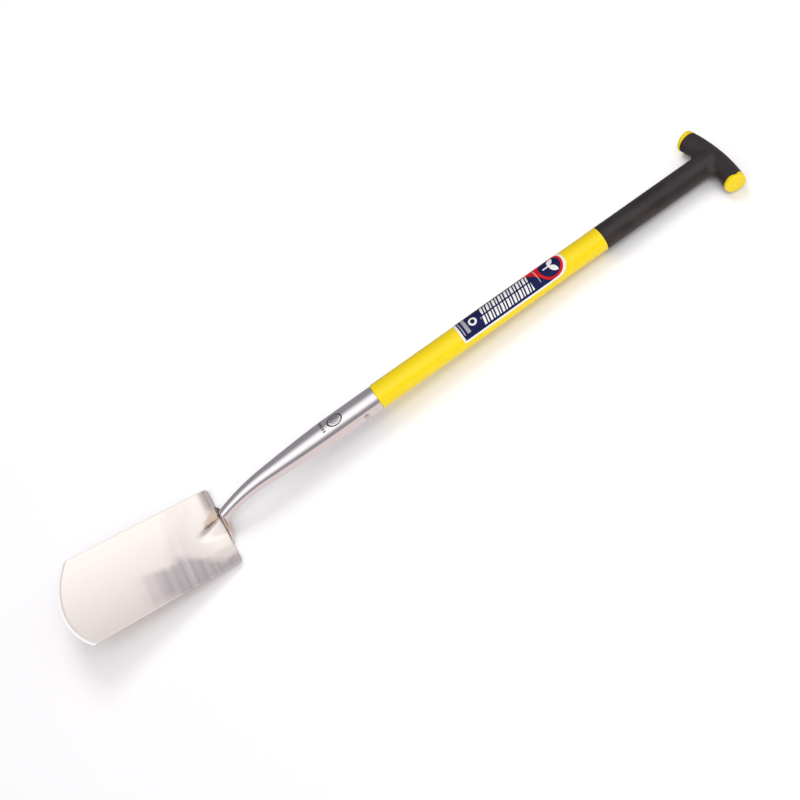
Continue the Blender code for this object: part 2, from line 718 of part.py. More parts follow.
def lay_on_ground(tool, parts):
    """Tilts the tool about Y until heel and T-bar both touch the ground, and centres it there."""
    points = world_points(parts)
    head = points[points[:, 0] < 0.0]
    handle = points[points[:, 0] > JACKET_LENGTH]
    tilt = 0.0
    for _ in range(12):
        down = np.array([math.sin(tilt), 0.0, -math.cos(tilt)])
        heel = head[np.argmax(head @ down)]
        bar = handle[np.argmax(handle @ down)]
        tilt = math.atan2(bar[2] - heel[2], bar[0] - heel[0])
    tool.rotation_euler = (0.0, tilt, 0.0)
    low = world_points(parts).min(axis=0)
    high = world_points(parts).max(axis=0)
    tool.location = (-(low[0] + high[0]) / 2.0, -(low[1] + high[1]) / 2.0, -low[2])


def build():
    clear_scene()
    parts = collection(COLLECTION)
    helpers = collection(COLLECTION + "_cutters", helper=True)
    blade_steel = material("brushed_stainless", (0.78, 0.75, 0.73), 0.3, 1.0)
    neck_steel = material("polished_stainless", (0.74, 0.72, 0.71), 0.18, 1.0)
    weld = material("heat_tinted_weld", (0.46, 0.39, 0.34), 0.45, 1.0)
    rivet = material("rivet_steel", (0.62, 0.61, 0.6), 0.3, 1.0)
    yellow = material("yellow_plastic", (0.98, 0.78, 0.02), 0.35)
    glass_fibre = material("glass_fibre_tube", (0.82, 0.8, 0.7), 0.5)
    plug = material("grey_plug_plastic", (0.35, 0.36, 0.37), 0.6)
    rubber = material("black_rubber", (0.05, 0.045, 0.045), 0.7)
    film = material("printed_label", (0.02, 0.03, 0.2), 0.3)
    cutters = make_cutters(helpers)
    made = [
        make_blade(parts, blade_steel),
        make_neck_socket(parts, cutters, neck_steel),
        make_neck_weld(parts, weld),
        make_socket_rivet(parts, rivet),
        make_shaft_jacket(parts, yellow),
        make_shaft_core(parts, glass_fibre),
        make_core_plug("core_plug_lower", -(SPIGOT_LENGTH + CORE_PAST_SPIGOT), parts, plug),
        make_core_plug("core_plug_upper", JACKET_LENGTH + UPPER_PLUG_START, parts, plug),
        make_label(parts, film),
        make_handle_core(parts, cutters, yellow),
        make_handle_grip(parts, rubber),
        make_handle_pin(parts, rivet),
        make_end_cap("end_cap_left", 1.0, parts, yellow),
        make_end_cap("end_cap_right", -1.0, parts, yellow),
    ]
    named = {obj.name: obj for obj in made}
    for name in ("shaft_jacket", "shaft_core", "core_plug_lower"):
        cut(named[name], cutters["rivet"])
    for name in ("shaft_core", "core_plug_upper"):
        cut(named[name], cutters["pin"])
    tool = bpy.data.objects.new("tool", None)
    parts.objects.link(tool)
    for obj in made + list(cutters.values()):
        obj.parent = tool
    lay_on_ground(tool, parts)


build()
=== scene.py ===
"""Looks of the garden spade: finer surfaces, finishes, studio light and camera.

Shapes are worked out in the tool's own frame, in metres. Its X runs along the shaft towards the
T-bar, its Z is the soil side, and its origin is on the shaft's axis at the mouth of the socket.
"""

import json
import math

import bmesh
import bpy
import numpy as np
from mathutils import Matrix, Vector


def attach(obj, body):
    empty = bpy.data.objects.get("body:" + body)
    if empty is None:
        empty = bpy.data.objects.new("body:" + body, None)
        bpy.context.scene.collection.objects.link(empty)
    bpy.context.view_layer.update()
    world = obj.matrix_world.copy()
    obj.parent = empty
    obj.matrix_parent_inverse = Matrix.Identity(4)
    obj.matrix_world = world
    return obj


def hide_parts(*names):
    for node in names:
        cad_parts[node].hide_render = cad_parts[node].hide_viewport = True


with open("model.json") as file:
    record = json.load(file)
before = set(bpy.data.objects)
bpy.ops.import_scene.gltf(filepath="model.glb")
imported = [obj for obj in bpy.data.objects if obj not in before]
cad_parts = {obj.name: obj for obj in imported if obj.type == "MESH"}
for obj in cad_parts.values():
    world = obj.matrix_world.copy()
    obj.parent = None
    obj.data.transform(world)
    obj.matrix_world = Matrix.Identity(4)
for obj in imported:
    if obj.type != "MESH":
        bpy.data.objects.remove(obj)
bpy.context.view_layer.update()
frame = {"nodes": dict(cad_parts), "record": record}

MM = 0.001
GAP = 0.3 * MM  # between pieces that touch
JOIN_WITHIN = 0.002 * MM  # points of one piece this near each other become one

# Socket and neck
SOCKET_WALL = 1.5 * MM
NECK_RADIUS = 9.1 * MM
NECK_STRAIGHT = 193.0 * MM  # from the mouth to the start of the bend
NECK_BEND_RADIUS = 200.0 * MM
NECK_BEND = math.radians(25.0)
NECK_END = NECK_STRAIGHT + NECK_BEND_RADIUS * NECK_BEND  # where the flare starts
TAPER_PAST_BEND = 10.0 * MM
SOCKET_FLOOR = 212.0 * MM
FLARE_LENGTH = 34.0 * MM
FLARE_HALF_WIDTH = 36.0 * MM
FLARE_HOLLOW = 2.6  # power by which the flare's flanks are hollow
FLARE_SLIDE = 0.2  # share of the flare's length that its round rings move along
FLARE_LEAD = 0.5  # share of it that its outlines start back from the seam
MOUTH_ROUND = 0.5 * MM
MOUTH_BEVEL = 0.3 * MM  # inside the mouth

# Blade
BLADE_SIDE = 231.5 * MM  # shoulder line to tip corners
BLADE_BULGE = 28.0 * MM
SHOULDER_HALF_WIDTH = 69.7 * MM
TIP_HALF_WIDTH = 74.3 * MM
SHOULDER_CORNER = 5.5 * MM
BLADE_LIFT = math.radians(12.9)
HEEL_BACK = 292.0 * MM
HEEL_DROP = 44.2 * MM
SHOULDER_DISH = 6.5 * MM
TIP_DISH = 6.0 * MM
BLADE_THICK = 2.2 * MM
EDGE_THICK = 0.7 * MM
GRIND_LENGTH = 7.0 * MM
RIB_HEIGHT = 25.0 * MM
RIB_HALF_WIDTH = 19.0 * MM
RIB_LENGTH = 46.0 * MM
RIB_END_WIDTH = 0.55  # share of the rib's width that is left at its end
RIB_FALL = 1.7  # power by which the rib's height falls
WELD_RADIUS = 1.5 * MM
WELD_LIFT = 1.2  # the bead's middle off the rib, in bead radii
WELD_LEAN = 0.8  # and onto the blade, as a share of that
WELD_END = 3.0  # length of each drawn-in end, in bead radii
WELD_THINNING = 0.45  # share by which the bead is thinner right of the rib's top
WELD_RIPPLE = 1.7 * MM  # length of one ripple of the bead
WELD_RIPPLE_DEPTH = 0.1
RIVET_SHANK = 0.72  # of the head's width

# Shaft and handle
JACKET_BORE = 12.8 * MM
JACKET_EDGE = 0.8 * MM
JACKET_TOP_RADIUS = 18.4 * MM
SLEEVE_TOP_RADIUS = 18.1 * MM
CROTCH_FILLET = 15.0 * MM
CROTCH_SOFTNESS = 2.0 * MM
GRIP_WALL = 2.4 * MM
JUNCTION_HALF = 26.0 * MM
CAGE_BAR_STEP = 12.0 * MM
CAGE_SLEEVE_STEP = 30.0 * MM
CAGE_CUTS = 21
CAP_BAND = 8.5 * MM
CAP_BAND_TILT = 2.5 * MM
CAP_NOTCH = 3.0 * MM
CAP_NOTCH_AT = math.radians(80.0)
CAP_NOTCH_WIDTH = math.radians(20.0)
CAP_ROUND = 3.0 * MM
CAP_DOME = 0.5 * MM
CAP_SEAM = 0.6 * MM
CAP_EDGE_ROUND = 0.5 * MM
CAP_BOSS_DEPTH = 13.7 * MM
CAP_BOSS_GAP = 1.0 * MM

# Label
LABEL_CORNER = 4.0 * MM
LABEL_END_CORNER = 21.0 * MM  # at the handle end
LABEL_THICK = 0.25 * MM
LABEL_RIM_POWER = 60  # of the share of the half angle, by which the long edges thin out

# Studio
DIM = 0.29  # light from the unlit parts of the room
PANEL = 0.85  # light from the panel overhead
FLOOR_SIZE = 80.0
FLOOR_BELOW = 0.2 * MM
BACKDROP_FROM = 0.7  # distances over which the floor turns into the backdrop
BACKDROP_FULL = 1.5

# Camera
LENS = 45.0
SENSOR = 36.0
VIEW_TURN = math.radians(33.9)  # of the camera about the shaft, from the soil side
VIEW_ROLL = math.radians(35.3)  # of the shaft in the frame, up to the right
VIEW_DISTANCE = 1.433
MOUTH_ACROSS = -24.6 * MM  # the socket's mouth from the middle of the frame: along the shaft
MOUTH_DOWN = -22.6 * MM  # and square to it


# ---------------------------------------------------------------- frame of the tool


MOUNTS = {mount["name"]: mount for mount in frame["record"]["mounts"]}


def tool_frame():
    """(origin, axes as columns). The two end faces of the T-bar lean towards the shaft by the same angle,
    so the sum of their outward normals points down the shaft."""
    left = MOUNTS["bar_end_left"]
    right = MOUNTS["bar_end_right"]
    along = -(np.array(left["axis"]) + np.array(right["axis"]))
    along /= np.linalg.norm(along)
    across = np.array([0.0, 1.0, 0.0])
    axes = np.stack([along, across, np.cross(along, across)], axis=1)
    middle = (np.array(left["pos_m"]) + np.array(right["pos_m"])) / 2.0
    mouth = (vertices("neck_socket") @ along).max()
    return middle + along * (mouth - middle @ along), axes


def vertices(node):
    """The points of a CAD node as an array."""
    mesh = frame["nodes"][node].data
    points = np.empty(len(mesh.vertices) * 3, np.float32)
    mesh.vertices.foreach_get("co", points)
    return points.reshape(-1, 3).astype(float)


ORIGIN, AXES = tool_frame()


def to_world(points):
    """Points of the tool's frame in the row's frame."""
    return ORIGIN + np.asarray(points) @ AXES.T


def span(node):
    """(lowest, highest) corner of a CAD node in the tool's frame."""
    points = (vertices(node) - ORIGIN) @ AXES
    return points.min(axis=0), points.max(axis=0)


JACKET_LOW, JACKET_HIGH = span("shaft_jacket")
JACKET_LENGTH = JACKET_HIGH[0]
SPIGOT_LENGTH = -JACKET_LOW[0]
JACKET_LOW_RADIUS = JACKET_HIGH[1]
SOCKET_RADIUS = span("neck_socket")[1][2]
LABEL_LOW, LABEL_HIGH = span("label")
GRIP_HIGH = span("handle_grip")[1]
CAP_HIGH = span("end_cap_left")[1]
RIVET_LOW, RIVET_HIGH = span("socket_rivet")
BAR_RADIUS = CAP_HIGH[2]
BAR_MIDDLE = GRIP_HIGH[0] - BAR_RADIUS
SLEEVE_LENGTH = BAR_MIDDLE - JACKET_LENGTH
BAR_END = (np.array(MOUNTS["bar_end_left"]["pos_m"]) - ORIGIN) @ AXES
BAR_HALF_LENGTH = abs(BAR_END[1])
BAR_BOW = BAR_MIDDLE - BAR_END[0]
END_TILT = math.atan(2.0 * BAR_BOW / BAR_HALF_LENGTH)


# ---------------------------------------------------------------- mesh helpers


def smoothstep(t):
    """3 t squared less 2 t cubed, held at 0 below 0 and at 1 above 1."""
    t = np.clip(t, 0.0, 1.0)
    return t * t * (3.0 - 2.0 * t)


def grid_quads(rows, columns):
    """Corner numbers of a grid's quads, as an array, row after row."""
    first = np.arange(rows - 1)[:, None] * columns + np.arange(columns - 1)[None, :]
    return np.stack([first, first + 1, first + columns + 1, first + columns], axis=-1).reshape(-1, 4)


def finish_piece(name, points, faces, look, nodes, slot, uv=None, marks=None, sharp=40.0):
    """A mesh object in the row's frame that stands for CAD nodes. uv and marks hold values by point."""
    mesh = bpy.data.meshes.new(name)
    mesh.from_pydata(to_world(points).tolist(), [], [list(face) for face in faces])
    if uv is not None:
        corners = np.empty(len(mesh.loops), np.int32)
        mesh.loops.foreach_get("vertex_index", corners)
        layer = mesh.uv_layers.new(name="UVMap")
        layer.data.foreach_set("uv", np.asarray(uv, np.float32)[corners].ravel())
    for label, values in (marks or {}).items():
        attribute = mesh.attributes.new(label, "FLOAT", "POINT")
        attribute.data.foreach_set("value", np.asarray(values, np.float32))
    close_and_turn_out(mesh)
    mesh.materials.append(look)
    mesh.shade_smooth()
    mesh.set_sharp_from_angle(angle=math.radians(sharp))
    piece = bpy.data.objects.new(name, mesh)
    bpy.context.scene.collection.objects.link(piece)
    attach(piece, "root")
    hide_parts(*nodes)
    return piece


def close_and_turn_out(mesh):
    """Joins the points that lie on each other along seams and poles, then points all faces outwards."""
    work = bmesh.new()
    work.from_mesh(mesh)
    bmesh.ops.remove_doubles(work, verts=work.verts, dist=JOIN_WITHIN)
    bmesh.ops.recalc_face_normals(work, faces=work.faces)
    work.to_mesh(mesh)
    work.free()


def swept(name, rings, uv, look, nodes, slot, **more):
    """A closed solid from rings of points (rows, columns, 3). The last column repeats the first, so that
    a pattern has its own value on each side of the seam, and each end is drawn in to the ring's middle."""
    ends = [rings[:1].mean(axis=1, keepdims=True), rings[-1:].mean(axis=1, keepdims=True)]
    full = np.concatenate([np.broadcast_to(ends[0], rings[:1].shape), rings,
                           np.broadcast_to(ends[1], rings[-1:].shape)])
    uv = np.concatenate([uv[:1], uv, uv[-1:]])
    rows, columns = full.shape[:2]
    return finish_piece(name, full.reshape(-1, 3), grid_quads(rows, columns), look, nodes, slot,
                        uv=uv.reshape(-1, 2), **more)


def turned(name, profile, look, nodes, slot, sides=96, about="X", offset=0.0):
    """A profile of (place along the axis, radius) carried round an axis: the other two coordinates are
    the radius times the cosine and the sine of the turn."""
    place, radius = np.array(profile).T
    turn = np.linspace(0.0, 2.0 * math.pi, sides + 1)
    flat = np.stack([radius[:, None] * np.cos(turn), radius[:, None] * np.sin(turn)], axis=-1)
    line = np.broadcast_to(place[:, None, None], (len(place), sides + 1, 1))
    if about == "X":
        rings = np.concatenate([line, flat], axis=-1)
    else:
        rings = np.concatenate([flat[..., :1] + offset, line, flat[..., 1:]], axis=-1)
    travelled = np.concatenate([[0.0], np.cumsum(np.hypot(np.diff(place), np.diff(radius)))])
    uv = np.stack(np.broadcast_arrays(travelled[:, None], turn[None, :] * radius.max()), axis=-1)
    return swept(name, rings, uv, look, nodes, slot)


def corner_arc(place, radius, round_off, start, count=5):
    """Profile points of a rounded corner: a quarter circle about (place, radius) from the angle start."""
    angle = start + np.linspace(0.0, 0.5 * math.pi, count)
    return [(place + round_off * math.cos(a), radius + round_off * math.sin(a)) for a in angle]


# ---------------------------------------------------------------- head


def dish(along, across):
    """Depth at the station times the square of the share of the half width."""
    share = np.clip(along / BLADE_SIDE, 0.0, 1.0 + BLADE_BULGE / BLADE_SIDE)
    depth = SHOULDER_DISH + (TIP_DISH - SHOULDER_DISH) * share
    half = SHOULDER_HALF_WIDTH + (TIP_HALF_WIDTH - SHOULDER_HALF_WIDTH) * share
    return depth * (across / half) ** 2


def rib(along, across):
    """A bell of cosine squared across, whose height falls as a power of what is left of its length."""
    left = np.clip(1.0 - along / RIB_LENGTH, 0.0, 1.0)
    half = RIB_HALF_WIDTH * (RIB_END_WIDTH + (1.0 - RIB_END_WIDTH) * left)
    bell = np.cos(0.5 * math.pi * np.clip(across / half, -1.0, 1.0)) ** 2
    return RIB_HEIGHT * left**RIB_FALL * bell


def blade_to_tool(along, across, height):
    """Turns (from the shoulder line to the tip, across, over the middle line) by the blade's lift."""
    c = math.cos(BLADE_LIFT)
    s = math.sin(BLADE_LIFT)
    x = -HEEL_BACK - along * c + height * s
    z = -HEEL_DROP + along * s + height * c
    return np.stack([x, across, z], axis=-1)


def blade_outline(across_share, along_share):
    """(along, across, half width, place of the tip's edge): the tip is a circle's arc, the sides are
    straight and part towards it, and the shoulder corners are quarter circles."""
    ball = (TIP_HALF_WIDTH**2 + BLADE_BULGE**2) / (2.0 * BLADE_BULGE)
    tip = BLADE_SIDE - (ball - BLADE_BULGE) + np.sqrt(ball**2 - (across_share * TIP_HALF_WIDTH) ** 2)
    along = tip * along_share
    spread = np.clip(along / BLADE_SIDE, 0.0, 1.0)
    half = SHOULDER_HALF_WIDTH + (TIP_HALF_WIDTH - SHOULDER_HALF_WIDTH) * spread
    left = np.clip(SHOULDER_CORNER - along, 0.0, SHOULDER_CORNER)
    half = half - (SHOULDER_CORNER - np.sqrt(SHOULDER_CORNER**2 - left**2))
    return along, half * across_share, half, tip


def eased(low, high, count, power=1.6):
    """Values from low to high that lie closer together at both ends."""
    t = np.linspace(-1.0, 1.0, count)
    return low + (high - low) * (0.5 + 0.5 * np.sign(t) * (1.0 - (1.0 - np.abs(t)) ** power))


def make_blade(look):
    """Two sheets over one outline. Within half the thickness of the edge they close on each other as a
    half circle does, and along the tip the soil face falls to the ground edge."""
    u = eased(-1.0, 1.0, 201)
    v = eased(0.0, 1.0, 241, power=2.0)
    across_share, along_share = np.meshgrid(u, v)
    along, across, half, tip = blade_outline(across_share, along_share)
    plain = dish(along, across)
    edge_radius = BLADE_THICK / 2.0
    to_tip = tip - along
    to_side = half * (1.0 - np.abs(across_share))
    near = np.minimum(np.minimum(to_side, along), to_tip)
    rim = np.sqrt(1.0 - (1.0 - np.clip(near / edge_radius, 0.0, 1.0)) ** 2)
    ground = (BLADE_THICK - EDGE_THICK) * np.clip(1.0 - to_tip / GRIND_LENGTH, 0.0, 1.0)
    front = plain + rib(along, across) - ground
    back = plain - BLADE_THICK
    middle = (plain - ground + back) / 2.0
    sheets = [blade_to_tool(along, across, middle + (face - middle) * rim) for face in (front, back)]
    rows, columns = along.shape
    quads = grid_quads(rows, columns)
    faces = np.concatenate([quads, quads[:, ::-1] + rows * columns])
    points = np.concatenate([sheet.reshape(-1, 3) for sheet in sheets])
    uv = np.stack([along, across], axis=-1).reshape(-1, 2)
    marks = {
        "from_tip": np.tile(to_tip.ravel(), 2),
        "soil_side": np.repeat([1.0, 0.0], rows * columns),
    }
    return finish_piece("spade_blade", points, faces, look, ["blade"], "brushed_stainless",
                        uv=np.concatenate([uv, uv]), marks=marks)


def socket_radius(distance):
    """From the socket's radius to the neck's, by a smooth step between the spigot and just past the bend."""
    share = smoothstep((distance - SPIGOT_LENGTH) / (NECK_END + TAPER_PAST_BEND - SPIGOT_LENGTH))
    return SOCKET_RADIUS + (NECK_RADIUS - SOCKET_RADIUS) * share


def neck_rings(distance, radius, turn):
    """Circles square to the neck's middle line, which is straight, then an arc, then straight again."""
    distance = np.asarray(distance, float)[:, None]
    radius = np.asarray(radius, float)[:, None]
    bend = np.clip((distance - NECK_STRAIGHT) / NECK_BEND_RADIUS, 0.0, NECK_BEND)
    past = np.maximum(distance - NECK_END, 0.0)
    x = -np.minimum(distance, NECK_STRAIGHT) - NECK_BEND_RADIUS * np.sin(bend) - past * np.cos(bend)
    z = -NECK_BEND_RADIUS * (1.0 - np.cos(bend)) - past * np.sin(bend)
    up = radius * np.sin(turn)
    out = radius * np.cos(turn)
    return np.stack([x - up * np.sin(bend), out + 0.0 * x, z + up * np.cos(bend)], axis=-1)


def seam_outline(turn, along):
    """The outline that the neck meets the blade with: the rib's bell above and the sheet below."""
    across = FLARE_HALF_WIDTH * np.cos(turn)
    above = dish(0.0, across) + rib(0.0, across)
    below = dish(0.0, across) - BLADE_THICK
    edge = dish(0.0, across) - BLADE_THICK / 2.0
    height = np.where(np.sin(turn) > 1e-9, above, below)
    height = np.where(np.abs(np.sin(turn)) < 1e-9, edge, height)
    return blade_to_tool(along, across, height)


def make_neck(look):
    """Round rings down the socket, the neck and its bend, which then turn into the seam's outline. The
    share of the outline grows as a power of the way, so the flanks are hollow."""
    turn = np.linspace(0.0, 2.0 * math.pi, 145)
    quarter = np.linspace(0.0, 0.5 * math.pi, 5)
    lip = MOUTH_ROUND * (1.0 - np.cos(quarter))
    outer_at = np.concatenate([lip, np.linspace(4.0 * MOUTH_ROUND, NECK_END, 120)])
    outer_radius = socket_radius(outer_at)
    outer_radius[:len(lip)] -= MOUTH_ROUND * (1.0 - np.sin(quarter))
    outer = neck_rings(outer_at, outer_radius, turn)
    share = np.linspace(0.0, 1.0, 49)[1:]
    slid = NECK_END + share * FLARE_LENGTH * FLARE_SLIDE
    round_rings = neck_rings(slid, np.full(len(share), NECK_RADIUS), turn)
    back = -GAP - (1.0 - share[:, None]) * FLARE_LENGTH * FLARE_LEAD
    seam = seam_outline(np.broadcast_to(turn, (len(share), len(turn))), back)
    weight = (share**FLARE_HOLLOW)[:, None, None]
    flare = round_rings + (seam - round_rings) * weight
    depth = np.linspace(SOCKET_FLOOR, MOUTH_BEVEL, 40)
    inner = neck_rings(depth, socket_radius(depth) - SOCKET_WALL, turn)
    rings = np.concatenate([inner, outer, flare])
    distance = np.concatenate([depth, outer_at, NECK_END + share * FLARE_LENGTH])
    around = (turn - 0.5 * math.pi) * SOCKET_RADIUS
    uv = np.stack(np.broadcast_arrays(distance[:, None], around[None, :]), axis=-1)
    return swept("swan_neck", rings, uv, look, ["neck_socket"], "polished_stainless")


def make_weld(look):
    """A bead along the seam: a circle carried along the rib's outline. Its radius is rippled by a sine of
    the way, drawn in to nothing at both ends as half a circle is, and less right of the rib's top."""
    y = np.linspace(-FLARE_HALF_WIDTH, FLARE_HALF_WIDTH, 361)
    height = dish(0.0, y) + rib(0.0, y)
    slope = np.gradient(height, y)
    length = np.sqrt(1.0 + slope**2)
    lift = (WELD_RADIUS + GAP) * WELD_LIFT
    side = y - lift * slope / length
    top = height + lift / length
    middle = blade_to_tool(np.full_like(y, lift * WELD_LEAN), side, top)
    way = np.concatenate([[0.0], np.cumsum(np.linalg.norm(np.diff(middle, axis=0), axis=1))])
    from_end = np.clip(np.minimum(way, way[-1] - way) / (WELD_END * WELD_RADIUS), 0.0, 1.0)
    drawn_in = np.sqrt(1.0 - (1.0 - from_end) ** 2)
    thinner = 1.0 - WELD_THINNING * smoothstep(-3.0 * y / FLARE_HALF_WIDTH)
    ripple = 1.0 - WELD_RIPPLE_DEPTH * (1.0 - np.sin(2.0 * math.pi * way / WELD_RIPPLE))
    radius = WELD_RADIUS * drawn_in * thinner * ripple
    tangent = np.gradient(middle, axis=0)
    tangent /= np.linalg.norm(tangent, axis=1, keepdims=True)
    forward = blade_to_tool(np.array([1.0, 0.0]), np.zeros(2), np.zeros(2))
    forward = forward[0] - forward[1]
    normal = np.cross(tangent, forward)
    normal /= np.linalg.norm(normal, axis=1, keepdims=True)
    binormal = np.cross(tangent, normal)
    turn = np.linspace(0.0, 2.0 * math.pi, 25)
    rings = middle[:, None] + radius[:, None, None] * (
        np.cos(turn)[None, :, None] * normal[:, None] + np.sin(turn)[None, :, None] * binormal[:, None])
    uv = np.stack(np.broadcast_arrays(way[:, None], turn[None, :] * WELD_RADIUS), axis=-1)
    return swept("weld_bead", rings, uv, look, ["neck_weld"], "heat_tinted_weld", sharp=80.0)


def make_rivet(look):
    """Two low domed heads on one shank, turned about Y. A dome falls as the cube of the way out."""
    head = RIVET_HIGH[0] - RIVET_LOW[0]
    top = RIVET_HIGH[1]
    under = SOCKET_RADIUS + GAP
    share = np.linspace(0.0, 1.0, 12)
    dome = [(top - (top - under) * s**3, 0.5 * head * s) for s in share]
    half = dome + [(under, 0.5 * head * RIVET_SHANK)]
    profile = half + [(-place, radius) for place, radius in half[::-1]]
    middle = (RIVET_LOW[0] + RIVET_HIGH[0]) / 2.0
    return turned("through_rivet", profile, look, ["socket_rivet"], "rivet_steel", 64, "Y", middle)


# ---------------------------------------------------------------- shaft


def jacket_radius(x):
    """The jacket's outside, a straight taper from its lower end to the handle."""
    share = (x - GAP) / (JACKET_LENGTH - GAP)
    return JACKET_LOW_RADIUS + (JACKET_TOP_RADIUS - JACKET_LOW_RADIUS) * share


def make_jacket(look):
    """The plastic jacket, turned about the shaft: spigot, rounded shoulder, slim taper, rounded top."""
    spigot = SOCKET_RADIUS - SOCKET_WALL - GAP
    edge = JACKET_EDGE
    top_edge = edge / 2.0
    profile = [
        (-SPIGOT_LENGTH, JACKET_BORE),
        (-SPIGOT_LENGTH, spigot - edge),
        (edge - SPIGOT_LENGTH, spigot),
        (GAP, spigot),
    ]
    profile += corner_arc(GAP + edge, jacket_radius(GAP) - edge, edge, 0.5 * math.pi)[::-1]
    profile += [(x, jacket_radius(x)) for x in np.linspace(2.0 * edge, JACKET_LENGTH - edge, 60)]
    profile += corner_arc(JACKET_LENGTH - top_edge, JACKET_TOP_RADIUS - top_edge, top_edge, 0.0)[::-1]
    profile += [(JACKET_LENGTH, JACKET_BORE)]
    return turned("yellow_jacket", profile, look, ["shaft_jacket"], "yellow_plastic", 128)


def label_half_angle():
    """The turn from the middle of the label to its long edge. It reaches sideways to the sine of that."""
    outside = jacket_radius(LABEL_LOW[0]) + GAP + LABEL_THICK
    angle = math.asin(min(1.0, LABEL_HIGH[1] / outside))
    return math.pi - angle if LABEL_LOW[2] < 0.0 else angle


def make_label(look):
    """A sheet round the jacket whose ends are rounded: near each end the half angle is less by the arc
    of a corner. Its two faces meet along the outline."""
    length = LABEL_HIGH[0] - LABEL_LOW[0]
    middle_radius = jacket_radius((LABEL_LOW[0] + LABEL_HIGH[0]) / 2.0) + GAP
    share_along = eased(0.0, 1.0, 161, power=2.4)
    x = LABEL_LOW[0] + length * share_along
    share = np.linspace(-1.0, 1.0, 97)
    gap = np.minimum(x - LABEL_LOW[0], LABEL_HIGH[0] - x)
    corner = np.where(share_along < 0.5, LABEL_CORNER, LABEL_END_CORNER)
    short = corner - np.sqrt(corner**2 - np.clip(corner - gap, 0.0, corner) ** 2)
    half = label_half_angle() - short / middle_radius
    angle = half[:, None] * share
    under = np.broadcast_to((jacket_radius(x) + GAP)[:, None], angle.shape)
    rim = np.sqrt(1.0 - np.abs(share) ** LABEL_RIM_POWER) * np.where(gap < JOIN_WITHIN, 0.0, 1.0)[:, None]
    faces_at = [under + LABEL_THICK * rim, under]
    place = np.broadcast_to(x[:, None], angle.shape)
    sheets = [np.stack([place, r * np.sin(angle), r * np.cos(angle)], axis=-1) for r in faces_at]
    rows, columns = angle.shape
    quads = grid_quads(rows, columns)
    faces = np.concatenate([quads, quads[:, ::-1] + rows * columns])
    uv = np.stack([place - LABEL_LOW[0], angle * middle_radius], axis=-1).reshape(-1, 2)
    points = np.concatenate([sheet.reshape(-1, 3) for sheet in sheets])
    return finish_piece("wrap_label", points, faces, look, ["label"], "printed_label",
                        uv=np.concatenate([uv, uv]))


# ---------------------------------------------------------------- T-handle


def bar_middle(y):
    """X of the T-bar's middle line: a parabola that bows away from the shaft."""
    return BAR_MIDDLE - BAR_BOW * (y / BAR_HALF_LENGTH) ** 2


def tee_field(points):
    """Nearly the signed distance to the T: the lesser of the distances to bar and sleeve, less a fillet
    that grows as the square of how near both are. The fillet is only in the crotch."""
    x, y, z = points.T
    slope = 2.0 * BAR_BOW * y / BAR_HALF_LENGTH**2
    bar = np.sqrt((x - bar_middle(y)) ** 2 / (1.0 + slope**2) + z**2) - BAR_RADIUS
    share = (x - JACKET_LENGTH) / SLEEVE_LENGTH
    radius = JACKET_TOP_RADIUS + (SLEEVE_TOP_RADIUS - JACKET_TOP_RADIUS) * share
    dome = np.clip(x - BAR_MIDDLE + BAR_BOW, 0.0, None)
    sleeve = np.sqrt(y**2 + z**2 + dome**2) - radius
    inward = smoothstep((BAR_MIDDLE - x) / BAR_RADIUS)
    round_off = np.clip(1.0 - (z / BAR_RADIUS) ** 2, 0.0, 1.0) * inward
    fillet = CROTCH_FILLET * round_off + CROTCH_SOFTNESS
    near = np.clip(fillet - np.abs(bar - sleeve), 0.0, None) / fillet
    return np.minimum(bar, sleeve) - near**2 * fillet / 4.0


def settle_on_tee(points):
    """Steps points down the field's slope onto the T. Points of the bar keep their Y, those of the
    sleeve their X."""
    step = 0.01 * MM
    free = np.ones_like(points)
    free[np.abs(points[:, 1]) > JUNCTION_HALF, 1] = 0.0
    free[points[:, 0] < BAR_MIDDLE - BAR_RADIUS - JUNCTION_HALF / 2.0, 0] = 0.0
    for _ in range(20):
        rises = [tee_field(points + move) - tee_field(points - move) for move in np.eye(3) * step]
        slope = np.stack(rises, axis=1) / (2.0 * step) * free
        size = np.maximum((slope**2).sum(axis=1), 0.05)
        points = points - (tee_field(points) / size)[:, None] * slope
    return points


def tee_cage():
    """(points, faces) of a square-section T, open at its three ends, cut into even quads."""
    work = bmesh.new()
    bmesh.ops.create_cube(work, size=2.0)
    half = np.array([BAR_RADIUS, SLEEVE_TOP_RADIUS, SLEEVE_TOP_RADIUS])
    middle = np.array([BAR_MIDDLE, 0.0, 0.0])
    for vertex in work.verts:
        vertex.co = middle + half * np.array(vertex.co)
    bar_stops = [JUNCTION_HALF + CAGE_BAR_STEP, BAR_HALF_LENGTH]
    sleeve_stops = [BAR_RADIUS + CAGE_SLEEVE_STEP, SLEEVE_LENGTH - GAP]
    for axis, stops in (((0, 1, 0), bar_stops), ((0, -1, 0), bar_stops), ((-1, 0, 0), sleeve_stops)):
        axis = np.array(axis, float)
        face = next(f for f in work.faces if np.dot(f.normal, axis) > 0.99)
        for stop in stops:
            face = bmesh.ops.extrude_discrete_faces(work, faces=[face])["faces"][0]
            for vertex in face.verts:
                here = np.array(vertex.co)
                vertex.co = here + axis * (stop - np.dot(here - middle, axis))
        bmesh.ops.delete(work, geom=[face], context="FACES_ONLY")
    bmesh.ops.subdivide_edges(work, edges=work.edges[:], cuts=CAGE_CUTS, use_grid_fill=True)
    bmesh.ops.recalc_face_normals(work, faces=work.faces)
    work.verts.index_update()
    points = np.array([vertex.co for vertex in work.verts])
    faces = [[vertex.index for vertex in face.verts] for face in work.faces]
    work.free()
    return points, faces


